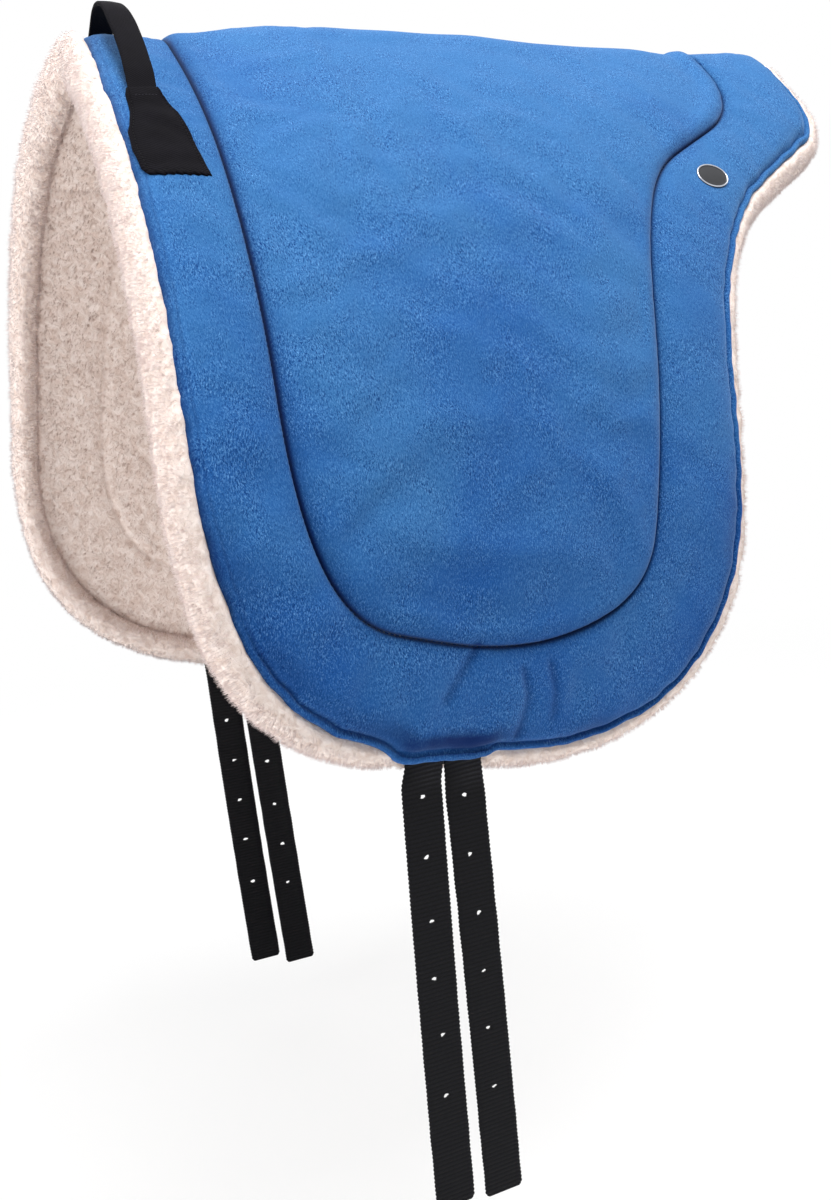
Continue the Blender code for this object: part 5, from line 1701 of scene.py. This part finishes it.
@dataclass
class Studio:
    """A pale studio: the floor, soft lights and the camera at the photograph's place."""

    azimuth: float = -25.81
    elevation: float = 9.34
    roll: float = -4.37
    distance: float = 1.2003
    focal: float = 1298.7
    frame_long: float = 1200.0
    sensor: float = 36.0
    aim: tuple = (-0.0535, 0.0, -0.4627)
    floor_level: float = -0.945
    half_floor: float = 30.0
    lights: tuple = (("key_light", (-2.6, -0.15, 0.8), 1.8, 60.0),
                     ("top_light", (0.2, -0.8, 2.4), 1.8, 120.0),
                     ("fill_light", (1.6, -2.4, 0.2), 2.2, 5.0), ("back_light", (0.6, 2.6, 1.2), 2.4, 24.0))

    def build(self) -> None:
        """Build the studio."""
        self.build_camera()
        self.build_floor()
        for light in self.lights:
            self.build_light(*light)
        self.build_world()

    def build_camera(self) -> None:
        """Set the camera."""
        a, e, roll = (math.radians(angle) for angle in (self.azimuth, self.elevation, self.roll))
        back = Vector((math.sin(a) * math.cos(e), -math.cos(a) * math.cos(e), math.sin(e)))
        right = (-back).cross(Vector((0.0, 0.0, 1.0))).normalized()
        up = right.cross(-back)
        turned_right = right * math.cos(roll) + up * math.sin(roll)
        turned_up = up * math.cos(roll) - right * math.sin(roll)
        data = bpy.data.cameras.new("camera")
        data.lens = self.focal / self.frame_long * self.sensor
        data.sensor_width = self.sensor
        camera = linked("camera", data)
        matrix = Matrix((turned_right, turned_up, back)).transposed().to_4x4()
        matrix.translation = Vector(self.aim) + back * self.distance
        camera.matrix_world = matrix
        bpy.context.scene.camera = camera

    def build_floor(self) -> None:
        """Lay the pale floor under the hanging billets."""
        corners = ((-1.0, -1.0), (1.0, -1.0), (1.0, 1.0), (-1.0, 1.0))
        points = np.array([(x * self.half_floor, y * self.half_floor, self.floor_level) for x, y in corners])
        floor = mesh_object("floor", points, [(0, 1, 2, 3)])
        made, node, shader = new_material("painted_floor")
        place = node("ShaderNodeTexCoord").outputs["Object"]
        mottle = node("ShaderNodeTexNoise", {"Vector": place, "Scale": 3.0})
        tint = node("ShaderNodeMix", {0: mottle, 6: linear("#F7F7F7"), 7: linear("#FBFBFB")},
                    data_type="RGBA")
        feed(shader, {"Base Color": tint, "Roughness": 0.9})
        path = node("ShaderNodeLightPath")
        glow = node("ShaderNodeEmission", {"Color": (1.0, 1.0, 1.0, 1.0), "Strength": 1.0})
        away = node("ShaderNodeVectorMath", {0: place}, operation="LENGTH")
        far = node("ShaderNodeMapRange", {"Value": away, 1: 1.2, 2: 2.6, 3: 0.80, 4: 1.0})
        camera_share = node("ShaderNodeMath", {0: path.outputs["Is Camera Ray"], 1: far},
                            operation="MULTIPLY")
        mixed = node("ShaderNodeMixShader", {0: camera_share, 1: shader, 2: glow})
        feed(made.node_tree.nodes["Material Output"], {"Surface": mixed})
        floor.data.materials.append(made)

    def build_light(self, name: str, place: tuple, size: float, power: float) -> None:
        """Hang one soft square light that faces the pad."""
        data = bpy.data.lights.new(name, "AREA")
        data.size = size
        data.energy = power
        light = linked(name, data)
        light.location = place
        light.rotation_mode = "QUATERNION"
        light.rotation_quaternion = (Vector((0.0, 0.0, -0.3)) - Vector(place)).to_track_quat("-Z", "Y")

    def build_world(self) -> None:
        """Light the room evenly and show it white behind the pad."""
        world = bpy.data.worlds.new("studio")
        world.use_nodes = True
        bpy.context.scene.world = world
        node = partial(add_node, world.node_tree)
        path = node("ShaderNodeLightPath")
        seen = node("ShaderNodeMath", {0: path.outputs["Is Camera Ray"], 1: path.outputs["Is Glossy Ray"]},
                    operation="MAXIMUM")
        seen = node("ShaderNodeMath", {0: seen, 1: path.outputs["Is Transmission Ray"]}, operation="MAXIMUM")
        strength = node("ShaderNodeMapRange", {"Value": seen, 3: 0.20, 4: 1.0})
        feed(world.node_tree.nodes["Background"], {"Color": (1.0, 1.0, 1.0, 1.0), "Strength": strength})


def dress(piece: Object, finish: Material, slot: str, body: str, *nodes: str) -> None:
    """Give a piece its finish and its body, and hide the nodes that it stands for."""
    piece.data.materials.clear()
    piece.data.materials.append(finish)
    if body:
        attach(piece, body)
    if nodes:
        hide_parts(*nodes)
    LOG.info("%s: %d faces", piece.name, len(piece.data.polygons))


def lipped_edge(edge: Outline, girthing: Girthing) -> Outline:
    """Return the velour's edge: a little wavy, fuller in places, and drawn out in a lip over the billets."""
    s, out = edge.ring[:, 0], np.abs(edge.ring[:, 1])
    waves = 0.0012 * ripple(edge.ring, 0.015, 31.0) + 0.0006 * ripple(edge.ring, 0.06, 2.0)
    low = smooth((out - 0.40) / 0.1)
    fore = 0.0030 * smooth((-0.20 - s) / 0.06) * (1.0 - low) * smooth((out - 0.04) / 0.06)
    waist = 0.0026 * smooth(s / 0.05) * smooth((out - 0.2) / 0.06)
    aft = 0.0020 * smooth((s + 0.12) / 0.03) * low
    reach = 0.0345
    beside = np.clip((s - girthing.middle(edge.ring[:, 1])) / reach, -1.0, 1.0)
    ahead = girthing.covered(edge.ring + np.array([0.008, 0.0]), 0.028, 0.026)
    lip = (0.0084 - 0.0030 * beside) * np.maximum(girthing.covered(edge.ring, reach, 0.012), ahead)
    return edge.offset(waves + waist + fore + aft + lip)


def build_fabric(arch: Arch, layers: Layers, pattern: Pattern, girthing: Girthing,
                 finishes: Cupboard) -> Cover:
    """Build the velour cover and the fleece, with its pile.

    Args:
        arch: The section that they are draped over.
        layers: The layers' heights.
        pattern: The pad's cut.
        girthing: Where the webs lie.
        finishes: The materials.

    Returns:
        The cover, which the handle and the badge sit on.
    """
    edge, seam = pattern.edge(), pattern.seam()
    swell = ClothSwell(arch, layers, edge, seam)
    cover = Cover(arch, layers, lipped_edge(edge, girthing), seam, girthing, swell)
    seat, border = cover.build_seat(), cover.build_border()
    dress(seat, finishes.velour, "velour", "pad", "seat_cover", "seat_foam")
    dress(border, finishes.velour, "velour", "pad", "border_cover", "border_foam", "base_foam")
    fleece = Fleece(arch, layers, edge, seam, girthing)
    roll, lining = fleece.build_roll(), fleece.build_lining()
    lock = Lock().make()
    pile = PileTool(lock)
    thick = 0.45
    parts = range(1, 5)
    roll_piles = [pile.apply(f"roll_pile_{part}", roll.data, Density=140000.0 * thick, Seed=part, Comb=0.8,
                             Gather=0.45, Loose=0.2, Length=0.75, Wool=finishes.wool) for part in parts]
    lining_piles = [pile.apply(f"lining_pile_{part}", lining.data, Density=50000.0 * thick, Seed=part + 4,
                               Comb=1.0, Gather=0.5, Loose=0.2, Length=0.7, Wool=finishes.lining)
                    for part in parts]
    dress(roll, finishes.backing, "fleece", "pad", "edge_roll_fleece", "edge_roll_core")
    dress(lining, finishes.backing, "fleece", "pad", "lining_side_left", "lining_side_right",
          "lining_spine_panel", "spine_cushion_left", "spine_cushion_right")
    for piece in roll_piles:
        dress(piece, finishes.wool, "fleece", "pad")
    for piece in lining_piles:
        dress(piece, finishes.lining, "fleece", "pad")
    bpy.data.objects.remove(lock, do_unlink=True)
    return cover


def build_straps(cover: Cover, pattern: Pattern, joints: dict, finishes: Cupboard) -> None:
    """Build the webs, the billets, the handle, the badge and the stitches.

    Args:
        cover: The velour cover that carries them.
        pattern: The pad's cut.
        joints: The joints by name.
        finishes: The materials.
    """
    arch, layers, girthing, edge = cover.arch, cover.layers, cover.girthing, pattern.edge()
    webbing = Webbing(arch, layers, edge, girthing, joints, RibTool(finishes.webbing))
    for place, web in zip(girthing.places, webbing.build_webs()):
        dress(web, finishes.webbing, "webbing", "pad", "girth_web_" + place)
    for side in Side:
        for place in girthing.places:
            billet = webbing.build_billet(side, place)
            node = f"billet_{side.name.lower()}_{place}"
            dress(billet, finishes.webbing, "webbing", "", node)
            webbing.swing(billet)
    handle = Handle(arch, cover)
    strap = handle.build_strap()
    dress(strap, finishes.twill, "webbing", "", "handle_strap")
    handle.rock(strap)
    stitching = Stitching(arch)
    flanged = cover.flanged(cover.edge.ring)
    groove = cover.edge.offset(-cover.stitch_inset * (0.5 + 0.5 * flanged)).ring
    sunk = cover.border_height(groove) + 0.0001 - 0.003 * (1.0 - cover.flanged(groove))
    stitching.sew("edge_stitches", extended(groove, sunk), finishes.thread, "velour", 0.0042, closed=True)
    seam = extended(cover.seam.ring, layers.seam - 0.0004)
    stitching.sew("seam_stitches", seam, finishes.thread, "velour", 0.0045, closed=True)
    for side in Side:
        name = side.name.lower()
        dress(handle.build_tab(side), finishes.twill, "twill", "pad", "handle_tab_" + name)
        hem, root = handle.hem_places(side), handle.root_places(side)
        stitching.sew("hem_stitches_" + name, hem, finishes.dark_thread, "twill", 0.0032, 0.8)
        stitching.sew("root_stitches_" + name, root, finishes.pale_thread, "twill", 0.0024, 0.4)
    stitching.dress_rows()
    badge = OvalBadge(arch, cover)
    oval = badge.build()
    dress(oval, finishes.rubber, "badge", "pad", "badge")
    badge.dress_rim(oval, finishes.rim)


def main() -> None:
    """Build the pad and its studio."""
    logging.basicConfig(level=logging.INFO, format="%(message)s")
    bpy.context.scene.view_settings.view_transform = "Standard"
    for old in list(bpy.data.objects):
        bpy.data.objects.remove(old, do_unlink=True)
    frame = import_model()
    Studio().build()
    finishes = Cupboard()
    joints = {joint["name"]: joint for joint in frame["record"]["behaviour"]["joints"]}
    arch, layers, pattern, girthing = Arch(), Layers(), Pattern(), Girthing()
    cover = build_fabric(arch, layers, pattern, girthing, finishes)
    build_straps(cover, pattern, joints, finishes)


if __name__ == "__main__":
    main()
